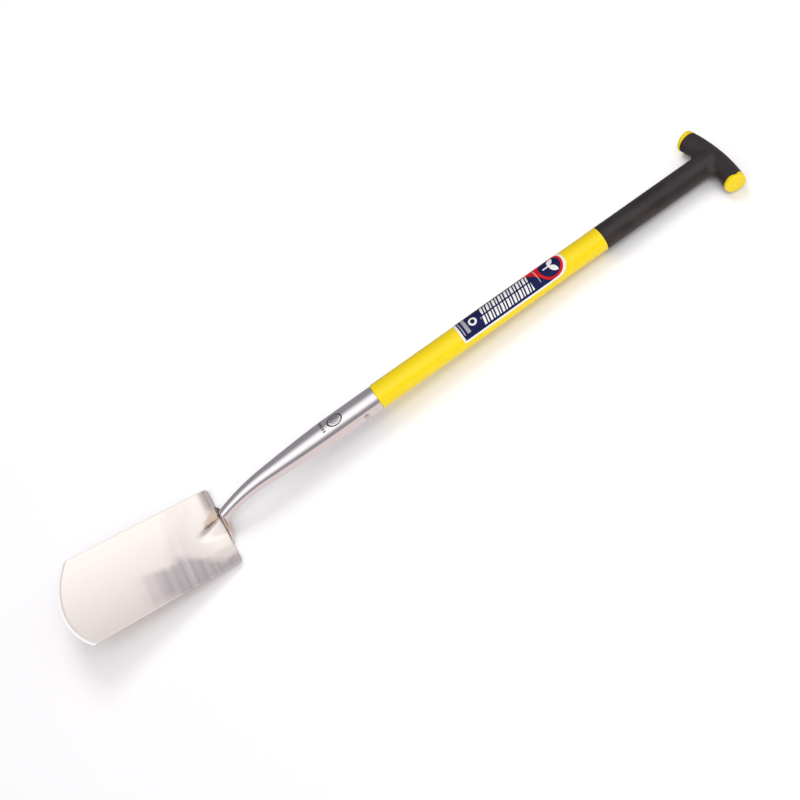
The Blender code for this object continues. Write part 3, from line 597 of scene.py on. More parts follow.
def cap_band(turn, side):
    """Length of a cap's band round the bar: a mean, a cosine, and one bell-shaped notch."""
    notch_at = np.where(side < 0.0, CAP_NOTCH_AT, -CAP_NOTCH_AT)
    off = (turn - notch_at + math.pi) % (2.0 * math.pi) - math.pi
    return CAP_BAND + CAP_BAND_TILT * np.cos(turn) - CAP_NOTCH * np.exp(-((off / CAP_NOTCH_WIDTH) ** 2))


def make_grip(look):
    """The T-shaped cage settled on the field, its bar ends moved to the caps' edges, with a wall inside."""
    cage, faces = tee_cage()
    side = np.sign(cage[:, 1])
    reach = BAR_HALF_LENGTH - JUNCTION_HALF
    share = np.clip((np.abs(cage[:, 1]) - JUNCTION_HALF) / reach, 0.0, None)
    points = settle_on_tee(cage)
    for _ in range(3):
        x, y, z = points.T
        turn = np.arctan2(z, x - bar_middle(y))
        lean = math.tan(END_TILT) * (x - bar_middle(BAR_HALF_LENGTH))
        end = BAR_HALF_LENGTH - (cap_band(turn, side) + CAP_SEAM) / math.cos(END_TILT) + lean
        moved = side * (JUNCTION_HALF + share * (end - JUNCTION_HALF))
        points[:, 1] = np.where(share > 0.0, moved, y)
        points = settle_on_tee(points)
    grip = finish_piece("rubber_grip", points, faces, look, ["handle_grip"], "black_rubber", sharp=180.0)
    wall = grip.modifiers.new("Wall", "SOLIDIFY")
    wall.thickness = GRIP_WALL
    wall.offset = -1.0
    wall.use_even_offset = True
    return grip


def make_cap(name, node, side, look):
    """Rings about the bar's end: a boss, then the wavy edge at the rubber, the band, a rounded rim and a
    low dome."""
    turn = np.linspace(0.0, 2.0 * math.pi, 129)
    out = np.array([-math.sin(END_TILT), side * math.cos(END_TILT), 0.0])
    away = np.array([math.cos(END_TILT), side * math.sin(END_TILT), 0.0])
    band = cap_band(turn, np.full(len(turn), side))
    boss = BAR_RADIUS - GRIP_WALL - CAP_BOSS_GAP
    flat = np.ones_like(turn)
    rings = [(flat * CAP_BOSS_DEPTH, boss), (band, boss)]
    for s in np.linspace(0.0, 1.0, 5):
        cut_back = CAP_EDGE_ROUND * (1.0 - math.sqrt(1.0 - (1.0 - s) ** 2))
        rings.append((band - CAP_EDGE_ROUND * s, BAR_RADIUS - cut_back))
    rings += [(band + (CAP_ROUND + CAP_DOME - band) * s, BAR_RADIUS) for s in (0.25, 0.5, 0.75)]
    for a in np.linspace(0.0, 0.5 * math.pi, 11):
        deep = CAP_DOME + CAP_ROUND * (1.0 - math.sin(a))
        rings.append((flat * deep, BAR_RADIUS - CAP_ROUND * (1.0 - math.cos(a))))
    face = BAR_RADIUS - CAP_ROUND
    rings += [(flat * CAP_DOME * (1.0 - s) ** 2, face * (1.0 - s)) for s in np.linspace(0.1, 0.95, 8)]
    depth = np.array([d for d, _ in rings])
    radius = np.array([r for _, r in rings])
    spokes = np.cos(turn)[:, None] * away + np.sin(turn)[:, None] * np.array([0.0, 0.0, 1.0])
    middle = np.array([bar_middle(BAR_HALF_LENGTH), side * BAR_HALF_LENGTH, 0.0])
    points = middle - depth[..., None] * out + radius[:, None, None] * spokes
    uv = np.stack(np.broadcast_arrays(depth, turn[None, :] * BAR_RADIUS), axis=-1)
    return swept(name, points, uv, look, [node], "yellow_plastic")


# ---------------------------------------------------------------- shader helpers


def add_node(tree, kind, **settings):
    """A new node with its settings."""
    made = tree.nodes.new(kind)
    for name, value in settings.items():
        setattr(made, name, value)
    return made


def feed(tree, socket, value):
    """Links a socket to another one, or sets it to a plain value."""
    if isinstance(value, bpy.types.NodeSocket):
        tree.links.new(value, socket)
    else:
        socket.default_value = value


def calc(tree, operation, *values, clamp=False):
    """One Math node on the given sockets or plain values."""
    made = add_node(tree, "ShaderNodeMath", operation=operation, use_clamp=clamp)
    for socket, value in zip(made.inputs, values):
        feed(tree, socket, value)
    return made.outputs[0]


def step(tree, value, low, high):
    """0 at low and 1 at high, smooth between them."""
    made = add_node(tree, "ShaderNodeMapRange", interpolation_type="SMOOTHSTEP")
    feed(tree, made.inputs["Value"], value)
    feed(tree, made.inputs["From Min"], low)
    feed(tree, made.inputs["From Max"], high)
    return made.outputs["Result"]


def between(tree, value, low, high, soft):
    """1 between low and high, fading to 0 over the width soft outside them."""
    rise = step(tree, value, low - soft, low)
    fall = step(tree, value, high + soft, high)
    return calc(tree, "MULTIPLY", rise, fall)


def mix(tree, share, first, second):
    """The first colour where the share is 0 and the second where it is 1."""
    made = add_node(tree, "ShaderNodeMix", data_type="RGBA")
    feed(tree, made.inputs[0], share)
    feed(tree, made.inputs[6], (*first, 1.0) if isinstance(first, tuple) else first)
    feed(tree, made.inputs[7], (*second, 1.0) if isinstance(second, tuple) else second)
    return made.outputs[2]


def noise(tree, vector, scale, detail=4.0, rough=0.55):
    """Cloudy noise between 0 and 1, mostly near 0.5."""
    made = add_node(tree, "ShaderNodeTexNoise")
    feed(tree, made.inputs["Vector"], vector)
    made.inputs["Scale"].default_value = scale
    made.inputs["Detail"].default_value = detail
    made.inputs["Roughness"].default_value = rough
    return made.outputs["Fac"]


def far_from(tree, x, y, x_at, y_at, x_size, y_size):
    """Distance to a point, measured in its own size along each direction."""
    dx = calc(tree, "DIVIDE", calc(tree, "SUBTRACT", x, x_at), x_size)
    dy = calc(tree, "DIVIDE", calc(tree, "SUBTRACT", y, y_at), y_size)
    squares = calc(tree, "ADD", calc(tree, "POWER", dx, 2.0), calc(tree, "POWER", dy, 2.0))
    return calc(tree, "SQRT", squares)


def shift(tree, vector, scale, detail, reach):
    """An uneven shift of a coordinate, to either side."""
    return calc(tree, "MULTIPLY", calc(tree, "SUBTRACT", noise(tree, vector, scale, detail), 0.5), reach)


def stretched(tree, vector, sizes):
    """The vector with each coordinate multiplied by its own number."""
    made = add_node(tree, "ShaderNodeVectorMath", operation="MULTIPLY")
    feed(tree, made.inputs[0], vector)
    made.inputs[1].default_value = sizes
    return made.outputs[0]


def new_group(name, inputs, outputs):
    """(tree, input sockets by name, output sockets by name) of a new shader node group."""
    tree = bpy.data.node_groups.new(name, "ShaderNodeTree")
    for label, kind, value in inputs:
        socket = tree.interface.new_socket(label, in_out="INPUT", socket_type=kind)
        if value is not None:
            socket.default_value = value
    for label, kind in outputs:
        tree.interface.new_socket(label, in_out="OUTPUT", socket_type=kind)
    start = tree.nodes.new("NodeGroupInput").outputs
    end = tree.nodes.new("NodeGroupOutput").inputs
    return tree, start, end


def place_group(tree, group, **values):
    """The outputs of a shared effect, placed with this material's own values."""
    made = add_node(tree, "ShaderNodeGroup", node_tree=group)
    for label, value in values.items():
        feed(tree, made.inputs[label.replace("_", " ")], value)
    return made.outputs


def new_material(name, roughness, metallic=0.0, **constants):
    """(material, tree, Principled BSDF sockets) with the plain values set on the shader itself."""
    made = bpy.data.materials.new(name)
    made.use_nodes = True
    tree = made.node_tree
    shader = tree.nodes["Principled BSDF"].inputs
    shader["Roughness"].default_value = roughness
    shader["Metallic"].default_value = metallic
    for label, value in constants.items():
        shader[label.replace("_", " ")].default_value = value
    return made, tree, shader


def bump(tree, shader, height, depth, strength=1.0):
    """Tilts the surface by a height of the given depth."""
    made = add_node(tree, "ShaderNodeBump")
    made.inputs["Strength"].default_value = strength
    made.inputs["Distance"].default_value = depth
    feed(tree, made.inputs["Height"], height)
    feed(tree, shader["Normal"], made.outputs[0])


def place_of(tree):
    """Object coordinates, which here are the row's own."""
    return add_node(tree, "ShaderNodeTexCoord").outputs["Object"]


def surface_uv(tree):
    """The piece's own map, in metres along its surface."""
    return add_node(tree, "ShaderNodeUVMap", uv_map="UVMap").outputs["UV"]


def split(tree, vector):
    """The three coordinates of a vector."""
    made = add_node(tree, "ShaderNodeSeparateXYZ")
    feed(tree, made.inputs[0], vector)
    return made.outputs


# ---------------------------------------------------------------- shared effects


def brush_lines():
    """Fine parallel lines left by a belt: noise drawn out along one direction, at two sizes."""
    tree, start, end = new_group(
        "brush_lines",
        [("Vector", "NodeSocketVector", None), ("Along", "NodeSocketFloat", 30.0),
         ("Across", "NodeSocketFloat", 2500.0)],
        [("Lines", "NodeSocketFloat"), ("Bands", "NodeSocketFloat")])
    join = add_node(tree, "ShaderNodeCombineXYZ")
    feed(tree, join.inputs[0], start["Along"])
    feed(tree, join.inputs[1], start["Across"])
    drawn = add_node(tree, "ShaderNodeVectorMath", operation="MULTIPLY")
    feed(tree, drawn.inputs[0], start["Vector"])
    feed(tree, drawn.inputs[1], join.outputs[0])
    feed(tree, end["Lines"], noise(tree, drawn.outputs[0], 1.0, 6.0, 0.7))
    coarse = add_node(tree, "ShaderNodeVectorMath", operation="SCALE")
    feed(tree, coarse.inputs[0], drawn.outputs[0])
    coarse.inputs["Scale"].default_value = 0.13
    feed(tree, end["Bands"], noise(tree, coarse.outputs[0], 1.0, 3.0, 0.5))
    return tree


def handling_marks():
    """Faint smudges and hairline scratches from being handled."""
    tree, start, end = new_group(
        "handling_marks",
        [("Vector", "NodeSocketVector", None), ("Amount", "NodeSocketFloat", 1.0)],
        [("Smudge", "NodeSocketFloat"), ("Scratch", "NodeSocketFloat")])
    smudge = step(tree, noise(tree, start["Vector"], 28.0, 5.0, 0.6), 0.42, 0.75)
    feed(tree, end["Smudge"], calc(tree, "MULTIPLY", smudge, start["Amount"]))
    drawn = stretched(tree, start["Vector"], (60.0, 900.0, 900.0))
    line = noise(tree, drawn, 1.0, 2.0, 0.4)
    hair = step(tree, line, 0.71, 0.76)
    feed(tree, end["Scratch"], calc(tree, "MULTIPLY", hair, start["Amount"]))
    return tree


def moulded_grain():
    """The fine pebbled skin of moulded plastic or rubber, as a height."""
    tree, start, end = new_group(
        "moulded_grain",
        [("Vector", "NodeSocketVector", None), ("Size", "NodeSocketFloat", 900.0)],
        [("Height", "NodeSocketFloat"), ("Tone", "NodeSocketFloat")])
    cells = add_node(tree, "ShaderNodeTexVoronoi", feature="SMOOTH_F1")
    feed(tree, cells.inputs["Vector"], start["Vector"])
    feed(tree, cells.inputs["Scale"], start["Size"])
    fine = calc(tree, "MULTIPLY", noise(tree, start["Vector"], 1800.0, 2.0, 0.5), 0.5)
    feed(tree, end["Height"], calc(tree, "ADD", cells.outputs["Distance"], fine))
    feed(tree, end["Tone"], noise(tree, start["Vector"], 16.0, 3.0, 0.5))
    return tree


# ---------------------------------------------------------------- finishes


def blade_finish(groups):
    """Brushed stainless: warm white, with painted reflections of the dim room (a darker, warmer right half,
    a greyer field and a grey shoulder corner), a heat tint at the weld with a painted dark reflection on the
    rib's left flank, painted white highlights on the rib's right flank and the ground tip's bevel, and belt
    lines across."""
    made, tree, shader = new_material("brushed_stainless", 0.34, 0.85)
    uv = surface_uv(tree)
    along, across, _ = split(tree, uv)
    turned_uv = add_node(tree, "ShaderNodeCombineXYZ")
    feed(tree, turned_uv.inputs[0], across)
    feed(tree, turned_uv.inputs[1], along)
    lines = place_group(tree, groups["brush_lines"], Vector=turned_uv.outputs[0], Along=12.0, Across=900.0)
    marks = place_group(tree, groups["handling_marks"], Vector=place_of(tree), Amount=0.6)
    wander = shift(tree, stretched(tree, uv, (14.0, 22.0, 1.0)), 1.0, 3.0, 50.0 * MM)
    moved = calc(tree, "ADD", across, wander)
    streaks = calc(tree, "MULTIPLY", calc(tree, "SUBTRACT", lines["Bands"], 0.5), 1.3)
    uneven = calc(tree, "ADD", 0.86, streaks)

    # Painted reflection: the right half is tinted darker and warmer, as the dim room would be mirrored
    # there.
    to_right = step(tree, moved, 16.0 * MM, -50.0 * MM)
    painted_right_reflection = calc(tree, "ADD", to_right, calc(tree, "MULTIPLY", streaks, 0.8))
    painted_right_reflection = calc(tree, "MULTIPLY", painted_right_reflection, 0.14, clamp=True)
    base = mix(tree, painted_right_reflection, (0.945, 0.885, 0.835), (0.79, 0.68, 0.61))
    # Painted reflection of the dim room: the greyer field over the right half.
    shade = calc(tree, "MULTIPLY", painted_reflection_field(tree, along, across, moved), uneven, clamp=True)
    base = mix(tree, shade, base, (0.55, 0.495, 0.51))
    # Painted dark reflection: a grey patch at the shoulder corner.
    corner = calc(tree, "MULTIPLY", step(tree, moved, 20.0 * MM, 45.0 * MM),
                  step(tree, along, 22.0 * MM, 6.0 * MM))
    base = mix(tree, calc(tree, "MULTIPLY", corner, uneven, clamp=True), base, (0.33, 0.28, 0.27))
    ruffled = calc(tree, "ADD", across, shift(tree, uv, 160.0, 4.0, 22.0 * MM))
    # The first mask is a real heat tint; the second is a painted dark reflection on the rib's left flank.
    straw, painted_flank_dark = heat_tint_and_painted_flank_dark(tree, calc(tree, "ADD", along, wander), ruffled)
    base = mix(tree, straw, base, (0.62, 0.47, 0.34))
    base = mix(tree, painted_flank_dark, base, (0.20, 0.17, 0.17))

    from_tip = add_node(tree, "ShaderNodeAttribute", attribute_name="from_tip").outputs["Fac"]
    soil_side = add_node(tree, "ShaderNodeAttribute", attribute_name="soil_side").outputs["Fac"]
    # The ground tip is a real bevel; making it near white and less metallic paints a highlight on it.
    ground = step(tree, from_tip, GRIND_LENGTH * 0.55, GRIND_LENGTH * 0.4)
    ground = calc(tree, "MULTIPLY", ground, soil_side)
    base = mix(tree, ground, base, (0.99, 0.985, 0.98))
    # Painted highlight: the rib's right flank is made less metallic, so it shows soft white.
    flank = calc(tree, "MULTIPLY", between(tree, across, -30.0 * MM, -5.0 * MM, 6.0 * MM),
                 step(tree, along, 50.0 * MM, 24.0 * MM))
    painted_white_highlight = calc(tree, "MAXIMUM", calc(tree, "MULTIPLY", ground, 0.75),
                      calc(tree, "MULTIPLY", flank, 0.6))
    feed(tree, shader["Metallic"], calc(tree, "SUBTRACT", 0.85, painted_white_highlight))
    base = mix(tree, calc(tree, "MULTIPLY", marks["Scratch"], 0.4), base, (0.7, 0.66, 0.64))
    feed(tree, shader["Base Color"], base)
    rough = calc(tree, "ADD", 0.36, calc(tree, "MULTIPLY", lines["Lines"], 0.16))
    rough = calc(tree, "ADD", rough, calc(tree, "MULTIPLY", marks["Smudge"], 0.05))
    feed(tree, shader["Roughness"], rough)
    bump(tree, shader, lines["Lines"], 0.02 * MM, 0.35)
    return made


def painted_reflection_field(tree, along, across, moved):
    """A painted reflection of the dim room: a greyer field in the right half. It is narrow at the shoulder
    corner, widest 75 to 110 mm from the shoulder line, fades out towards the tip, and is lighter along the
    side.
    A faint slanted band of the same painted reflection crosses the left half."""
    widening = calc(tree, "MULTIPLY", step(tree, along, 16.0 * MM, 86.0 * MM), 46.0 * MM)
    edge = calc(tree, "ADD", -51.0 * MM, widening)
    field = step(tree, calc(tree, "SUBTRACT", edge, moved), -8.0 * MM, 14.0 * MM)
    field = calc(tree, "MULTIPLY", field, step(tree, along, 158.0 * MM, 98.0 * MM))
    side = calc(tree, "MULTIPLY", step(tree, across, -56.0 * MM, -70.0 * MM),
                step(tree, along, 85.0 * MM, 110.0 * MM))
    field = calc(tree, "MULTIPLY", field, calc(tree, "SUBTRACT", 1.0, calc(tree, "MULTIPLY", side, 0.5)))
    slant = calc(tree, "ADD", along, calc(tree, "MULTIPLY", moved, 0.35))
    faint = calc(tree, "MULTIPLY", between(tree, slant, 66.0 * MM, 84.0 * MM, 22.0 * MM), 0.17)
    return calc(tree, "MAXIMUM", field, faint)


def heat_tint_and_painted_flank_dark(tree, along, across):
    """(straw, painted dark) masks: a real heat tint by the weld, how near to a point off the rib's left
    flank, and a painted dark reflection on the rib's left flank, how near to one at its foot."""
    far = far_from(tree, along, across, 8.0 * MM, 19.0 * MM, 19.0 * MM, 17.0 * MM)
    straw = calc(tree, "MULTIPLY", step(tree, far, 1.15, 0.45), 0.75)
    close = far_from(tree, along, across, 14.0 * MM, 11.0 * MM, 13.0 * MM, 6.0 * MM)
    painted_flank_dark = calc(tree, "MULTIPLY", step(tree, close, 1.2, 0.3), 0.6)
    return straw, painted_flank_dark


def neck_finish(groups):
    """Polished stainless with fine lines along the tube, an etched mark, and a heat tint on the flare."""
    made, tree, shader = new_material("polished_stainless", 0.14, 1.0)
    uv = surface_uv(tree)
    distance, around, _ = split(tree, uv)
    lines = place_group(tree, groups["brush_lines"], Vector=uv, Along=25.0, Across=1600.0)
    marks = place_group(tree, groups["handling_marks"], Vector=place_of(tree), Amount=0.5)
    near = calc(tree, "ADD", distance, shift(tree, uv, 90.0, 3.0, 20.0 * MM))
    web = step(tree, near, NECK_END + 6.0 * MM, NECK_END + 26.0 * MM)
    from_right = step(tree, split(tree, place_of(tree))[1], -30.0 * MM, -16.0 * MM)
    web = calc(tree, "MULTIPLY", web, from_right)
    base = mix(tree, web, (0.90, 0.875, 0.885), (0.70, 0.58, 0.47))
    etched = etched_mark(tree, distance, around)
    base = mix(tree, etched, base, (0.03, 0.028, 0.03))
    feed(tree, shader["Base Color"], base)
    rough = calc(tree, "ADD", 0.12, calc(tree, "MULTIPLY", lines["Lines"], 0.07))
    rough = calc(tree, "ADD", rough, calc(tree, "MULTIPLY", marks["Smudge"], 0.05))
    rough = calc(tree, "ADD", rough, calc(tree, "MULTIPLY", etched, 0.3))
    feed(tree, shader["Roughness"], rough)
    bump(tree, shader, lines["Lines"], 0.01 * MM, 0.15)
    return made


def etched_mark(tree, distance, around):
    """A plain oval with a ring and a hatched field, and a row of short bars beside it."""
    far = far_from(tree, distance, around, 68.0 * MM, 2.0 * MM, 12.0 * MM, 8.5 * MM)
    ring = between(tree, far, 0.86, 1.03, 0.04)
    wave = calc(tree, "SINE", calc(tree, "MULTIPLY", calc(tree, "ADD", distance, around), 1900.0))
    hatch = calc(tree, "MULTIPLY", step(tree, wave, -0.5, -0.1), step(tree, far, 0.72, 0.66))
    bars = step(tree, calc(tree, "SINE", calc(tree, "MULTIPLY", around, 1700.0)), -0.4, 0.0)
    bars = calc(tree, "MULTIPLY", bars, between(tree, around, -13.0 * MM, 9.0 * MM, 0.3 * MM))
    bars = calc(tree, "MULTIPLY", bars, between(tree, distance, 86.5 * MM, 91.0 * MM, 0.2 * MM))
    mark = calc(tree, "MAXIMUM", ring, calc(tree, "MULTIPLY", hatch, 0.8))
    return calc(tree, "MULTIPLY", calc(tree, "MAXIMUM", mark, bars), 0.9)


def weld_finish():
    """Weld metal in patches of grey and straw brown, scaly between the ripples, with a painted highlight on
    the
    right: paler, near white and less metallic."""
    made, tree, shader = new_material("heat_tinted_weld", 0.4, 1.0)
    uv = surface_uv(tree)
    scale = noise(tree, place_of(tree), 700.0, 4.0)
    tone = noise(tree, uv, 120.0, 3.0)
    base = mix(tree, step(tree, tone, 0.35, 0.65), (0.52, 0.47, 0.45), (0.40, 0.30, 0.22))
    base = mix(tree, step(tree, scale, 0.55, 0.7), base, (0.24, 0.22, 0.24))
    # Painted highlight on the bead right of the rib's top: paler and less metallic there.
    aside = calc(tree, "ADD", split(tree, place_of(tree))[1], calc(tree, "MULTIPLY", tone, 20.0 * MM))
    painted_right_highlight = step(tree, aside, 12.0 * MM, -2.0 * MM)
    base = mix(tree, painted_right_highlight, base, (0.90, 0.86, 0.83))
    feed(tree, shader["Metallic"], calc(tree, "SUBTRACT", 1.0, calc(tree, "MULTIPLY", painted_right_highlight, 0.85)))
    feed(tree, shader["Base Color"], base)
    feed(tree, shader["Roughness"], calc(tree, "ADD", 0.28, calc(tree, "MULTIPLY", scale, 0.3)))
    bump(tree, shader, scale, 0.1 * MM, 0.5)
    return made


def steel_finish():
    """Plain bright steel with a slight grain, for the rivet and the pin."""
    made, tree, shader = new_material("rivet_steel", 0.25, 1.0)
    grain = noise(tree, place_of(tree), 900.0, 4.0)
    feed(tree, shader["Base Color"], mix(tree, grain, (0.66, 0.64, 0.63), (0.80, 0.78, 0.77)))
    feed(tree, shader["Roughness"], calc(tree, "ADD", 0.18, calc(tree, "MULTIPLY", grain, 0.2)))
    bump(tree, shader, grain, 0.02 * MM, 0.3)
    return made


def yellow_finish(groups):
    """Bright yellow moulded plastic: even colour with faint clouding, satin skin, light scuffs."""
    made, tree, shader = new_material("yellow_plastic", 0.32, 0.0, Specular_IOR_Level=0.45)
    place = place_of(tree)
    grain = place_group(tree, groups["moulded_grain"], Vector=place, Size=650.0)
    marks = place_group(tree, groups["handling_marks"], Vector=place, Amount=0.7)
    base = mix(tree, step(tree, grain["Tone"], 0.3, 0.7), (0.96, 0.715, 0.0), (0.97, 0.74, 0.002))
    base = mix(tree, calc(tree, "MULTIPLY", marks["Scratch"], 0.35), base, (0.98, 0.80, 0.12))
    feed(tree, shader["Base Color"], base)
    rough = calc(tree, "ADD", 0.27, calc(tree, "MULTIPLY", marks["Smudge"], 0.08))
    feed(tree, shader["Roughness"], rough)
    bump(tree, shader, grain["Height"], 0.02 * MM, 0.12)
    return made


def rubber_finish(groups):
    """Soft black rubber with a brown cast: fine pebbled skin, paler where hands have smudged it."""
    made, tree, shader = new_material("black_rubber", 0.55, 0.0, IOR=1.5)
    place = place_of(tree)
    grain = place_group(tree, groups["moulded_grain"], Vector=place, Size=1100.0)
    marks = place_group(tree, groups["handling_marks"], Vector=place, Amount=0.8)
    base = mix(tree, step(tree, grain["Tone"], 0.3, 0.7), (0.017, 0.0125, 0.0125), (0.027, 0.0205, 0.020))
    base = mix(tree, calc(tree, "MULTIPLY", marks["Smudge"], 0.45), base, (0.060, 0.045, 0.044))
    feed(tree, shader["Base Color"], base)
    feed(tree, shader["Roughness"], calc(tree, "ADD", 0.40, calc(tree, "MULTIPLY", grain["Tone"], 0.12)))
    bump(tree, shader, grain["Height"], 0.05 * MM, 0.3)
    return made


def hidden_finish(name, colour, second, roughness):
    """A plain piece that sits inside the shaft or the handle, with a slight grain."""
    made, tree, shader = new_material(name, roughness)
    grain = noise(tree, stretched(tree, place_of(tree), (40.0, 900.0, 900.0)), 1.0, 4.0)
    feed(tree, shader["Base Color"], mix(tree, grain, colour, second))
    bump(tree, shader, grain, 0.03 * MM, 0.3)
    return made


def label_finish():
    """Printed film: white border, navy field, two rows of slanted bars, a red end with a plain sprout on a
    navy disc, and small dashes. It carries no words. X runs up the shaft and Y round it."""
    made, tree, shader = new_material("printed_label", 0.35, 0.0, Specular_IOR_Level=0.05)
    uv = surface_uv(tree)
    x, y, _ = split(tree, uv)
    length = LABEL_HIGH[0] - LABEL_LOW[0]
    half = jacket_radius(LABEL_LOW[0]) * label_half_angle()
    soft = 0.12 * MM
    border = 3.4 * MM
    disc_at = 160.0 * MM
    white = (0.88, 0.87, 0.86)
    navy = (0.001, 0.005, 0.066)
    red = (0.66, 0.001, 0.006)
    inside = calc(tree, "MULTIPLY", between(tree, x, border, length, soft),
                  between(tree, y, border - half, half - border, soft))
    round_end = disc(tree, x, y, disc_at, 0.0, 20.2 * MM, soft)
    before_disc = step(tree, x, disc_at + soft, disc_at)
    inside = calc(tree, "MULTIPLY", inside, calc(tree, "MAXIMUM", before_disc, round_end))
    slanted = step(tree, calc(tree, "ADD", x, y), 133.0 * MM, 133.3 * MM)
    slanted = calc(tree, "MULTIPLY", slanted, step(tree, y, -19.4 * MM, -19.0 * MM))
    slanted = calc(tree, "MULTIPLY", slanted, before_disc)
    ink = mix(tree, calc(tree, "MAXIMUM", slanted, round_end), navy, red)
    ink = mix(tree, disc(tree, x, y, disc_at, 0.0, 16.5 * MM, soft), ink, navy)
    pale = calc(tree, "MAXIMUM", block_rows(tree, x, y, soft), sprout(tree, x, y, disc_at, soft))
    pale = calc(tree, "MAXIMUM", pale, small_dashes(tree, x, y, soft))
    ink = mix(tree, pale, ink, white)
    colour = mix(tree, inside, white, ink)
    grain = noise(tree, uv, 5000.0, 2.0)
    colour = mix(tree, calc(tree, "MULTIPLY", grain, 0.05), colour, (0.5, 0.5, 0.5))
    feed(tree, shader["Base Color"], colour)
    feed(tree, shader["Roughness"], calc(tree, "ADD", 0.25, calc(tree, "MULTIPLY", grain, 0.08)))
    return made


def disc(tree, x, y, x_at, y_at, radius, soft):
    """1 inside the circle, fading to 0 over the width soft outside it."""
    return step(tree, far_from(tree, x, y, x_at, y_at, 1.0, 1.0), radius + soft, radius)


def block_rows(tree, x, y, soft):
    """Two rows of slanted bars, wide and narrow ones in turn. Each row has its own lower and upper edge,
    start and stop, in millimetres."""
    lean = calc(tree, "ADD", x, calc(tree, "MULTIPLY", y, -0.22))
    cell = calc(tree, "MODULO", lean, 10.4 * MM)
    bars = calc(tree, "MAXIMUM", between(tree, cell, 0.6 * MM, 4.2 * MM, soft),
                between(tree, cell, 6.4 * MM, 8.4 * MM, soft))
    rows = 0.0
    for low, high, start, stop in ((-16.6, -4.4, 38.0, 124.5), (-1.8, 10.8, 43.0, 124.5)):
        row = calc(tree, "MULTIPLY", bars, between(tree, y, low * MM, high * MM, soft))
        row = calc(tree, "MULTIPLY", row, between(tree, x, start * MM, stop * MM, soft))
        rows = calc(tree, "MAXIMUM", rows, row)
    return rows


def sprout(tree, x, y, x_at, soft):
    """Two leaves, each where two discs overlap, on a short stem."""
    shape = between(tree, calc(tree, "SUBTRACT", x, x_at), -11.0 * MM, 2.0 * MM, soft)
    shape = calc(tree, "MULTIPLY", shape, between(tree, y, -1.1 * MM, 1.1 * MM, soft))
    for side in (-1.0, 1.0):
        first = disc(tree, x, y, x_at + 8.0 * MM, side * 2.5 * MM, 9.5 * MM, soft)
        second = disc(tree, x, y, x_at - 0.5 * MM, side * 9.5 * MM, 9.5 * MM, soft)
        shape = calc(tree, "MAXIMUM", shape, calc(tree, "MULTIPLY", first, second))
    return shape


def small_dashes(tree, x, y, soft):
    """Columns of short dashes near the start, a ring, and a dashed line across before the red end."""
    wave = calc(tree, "SINE", calc(tree, "MULTIPLY", y, 3000.0))
    dashes = calc(tree, "MULTIPLY", step(tree, wave, -0.3, 0.0),
                  between(tree, y, -13.5 * MM, 14.0 * MM, soft))
    columns = 0.0
    for start, stop in ((5.6, 7.4), (11.0, 16.5), (136.6, 137.8)):
        columns = calc(tree, "MAXIMUM", columns, between(tree, x, start * MM, stop * MM, soft))
    dashes = calc(tree, "MULTIPLY", dashes, calc(tree, "MULTIPLY", columns, 0.8))
    ring = calc(tree, "SUBTRACT", disc(tree, x, y, 26.0 * MM, -2.0 * MM, 6.4 * MM, soft),
                disc(tree, x, y, 26.0 * MM, -2.0 * MM, 3.4 * MM, soft))
    return calc(tree, "MAXIMUM", dashes, ring)


# ---------------------------------------------------------------- studio


def make_floor():
    """A plain pale floor under the spade, which turns into the white backdrop away from it. In reflections
    it glows as a painted reflection, dim on the far side and faintly pink on the near one."""
    bpy.ops.mesh.primitive_plane_add(size=FLOOR_SIZE, location=(0.0, 0.0, -FLOOR_BELOW))
    floor = bpy.context.object
    floor.name = "studio_floor"
    made, tree, shader = new_material("studio_floor", 0.9)
    shader["Base Color"].default_value = (0.93, 0.93, 0.935, 1.0)
    shader["Specular IOR Level"].default_value = 0.0
    near = step(tree, split(tree, place_of(tree))[1], 20.0 * MM, -20.0 * MM)
    # Painted reflection: glossy rays see this glow instead of the floor's own shading.
    painted_reflection_glow = add_node(tree, "ShaderNodeEmission")
    colour = mix(tree, near, (DIM, DIM * 0.96, DIM * 1.03), (0.79, 0.685, 0.672))
    feed(tree, painted_reflection_glow.inputs["Color"], colour)
    choose = add_node(tree, "ShaderNodeMixShader")
    feed(tree, choose.inputs[0], add_node(tree, "ShaderNodeLightPath").outputs["Is Glossy Ray"])
    length = add_node(tree, "ShaderNodeVectorMath", operation="LENGTH")
    feed(tree, length.inputs[0], place_of(tree))
    backdrop = add_node(tree, "ShaderNodeEmission")
    spread = add_node(tree, "ShaderNodeMixShader")
    feed(tree, spread.inputs[0], step(tree, length.outputs["Value"], BACKDROP_FROM, BACKDROP_FULL))
    feed(tree, spread.inputs[1], tree.nodes["Principled BSDF"].outputs[0])
    feed(tree, spread.inputs[2], backdrop.outputs[0])
    feed(tree, choose.inputs[1], spread.outputs[0])
    feed(tree, choose.inputs[2], painted_reflection_glow.outputs[0])
    feed(tree, tree.nodes["Material Output"].inputs["Surface"], choose.outputs[0])
    floor.data.materials.append(made)
    return floor


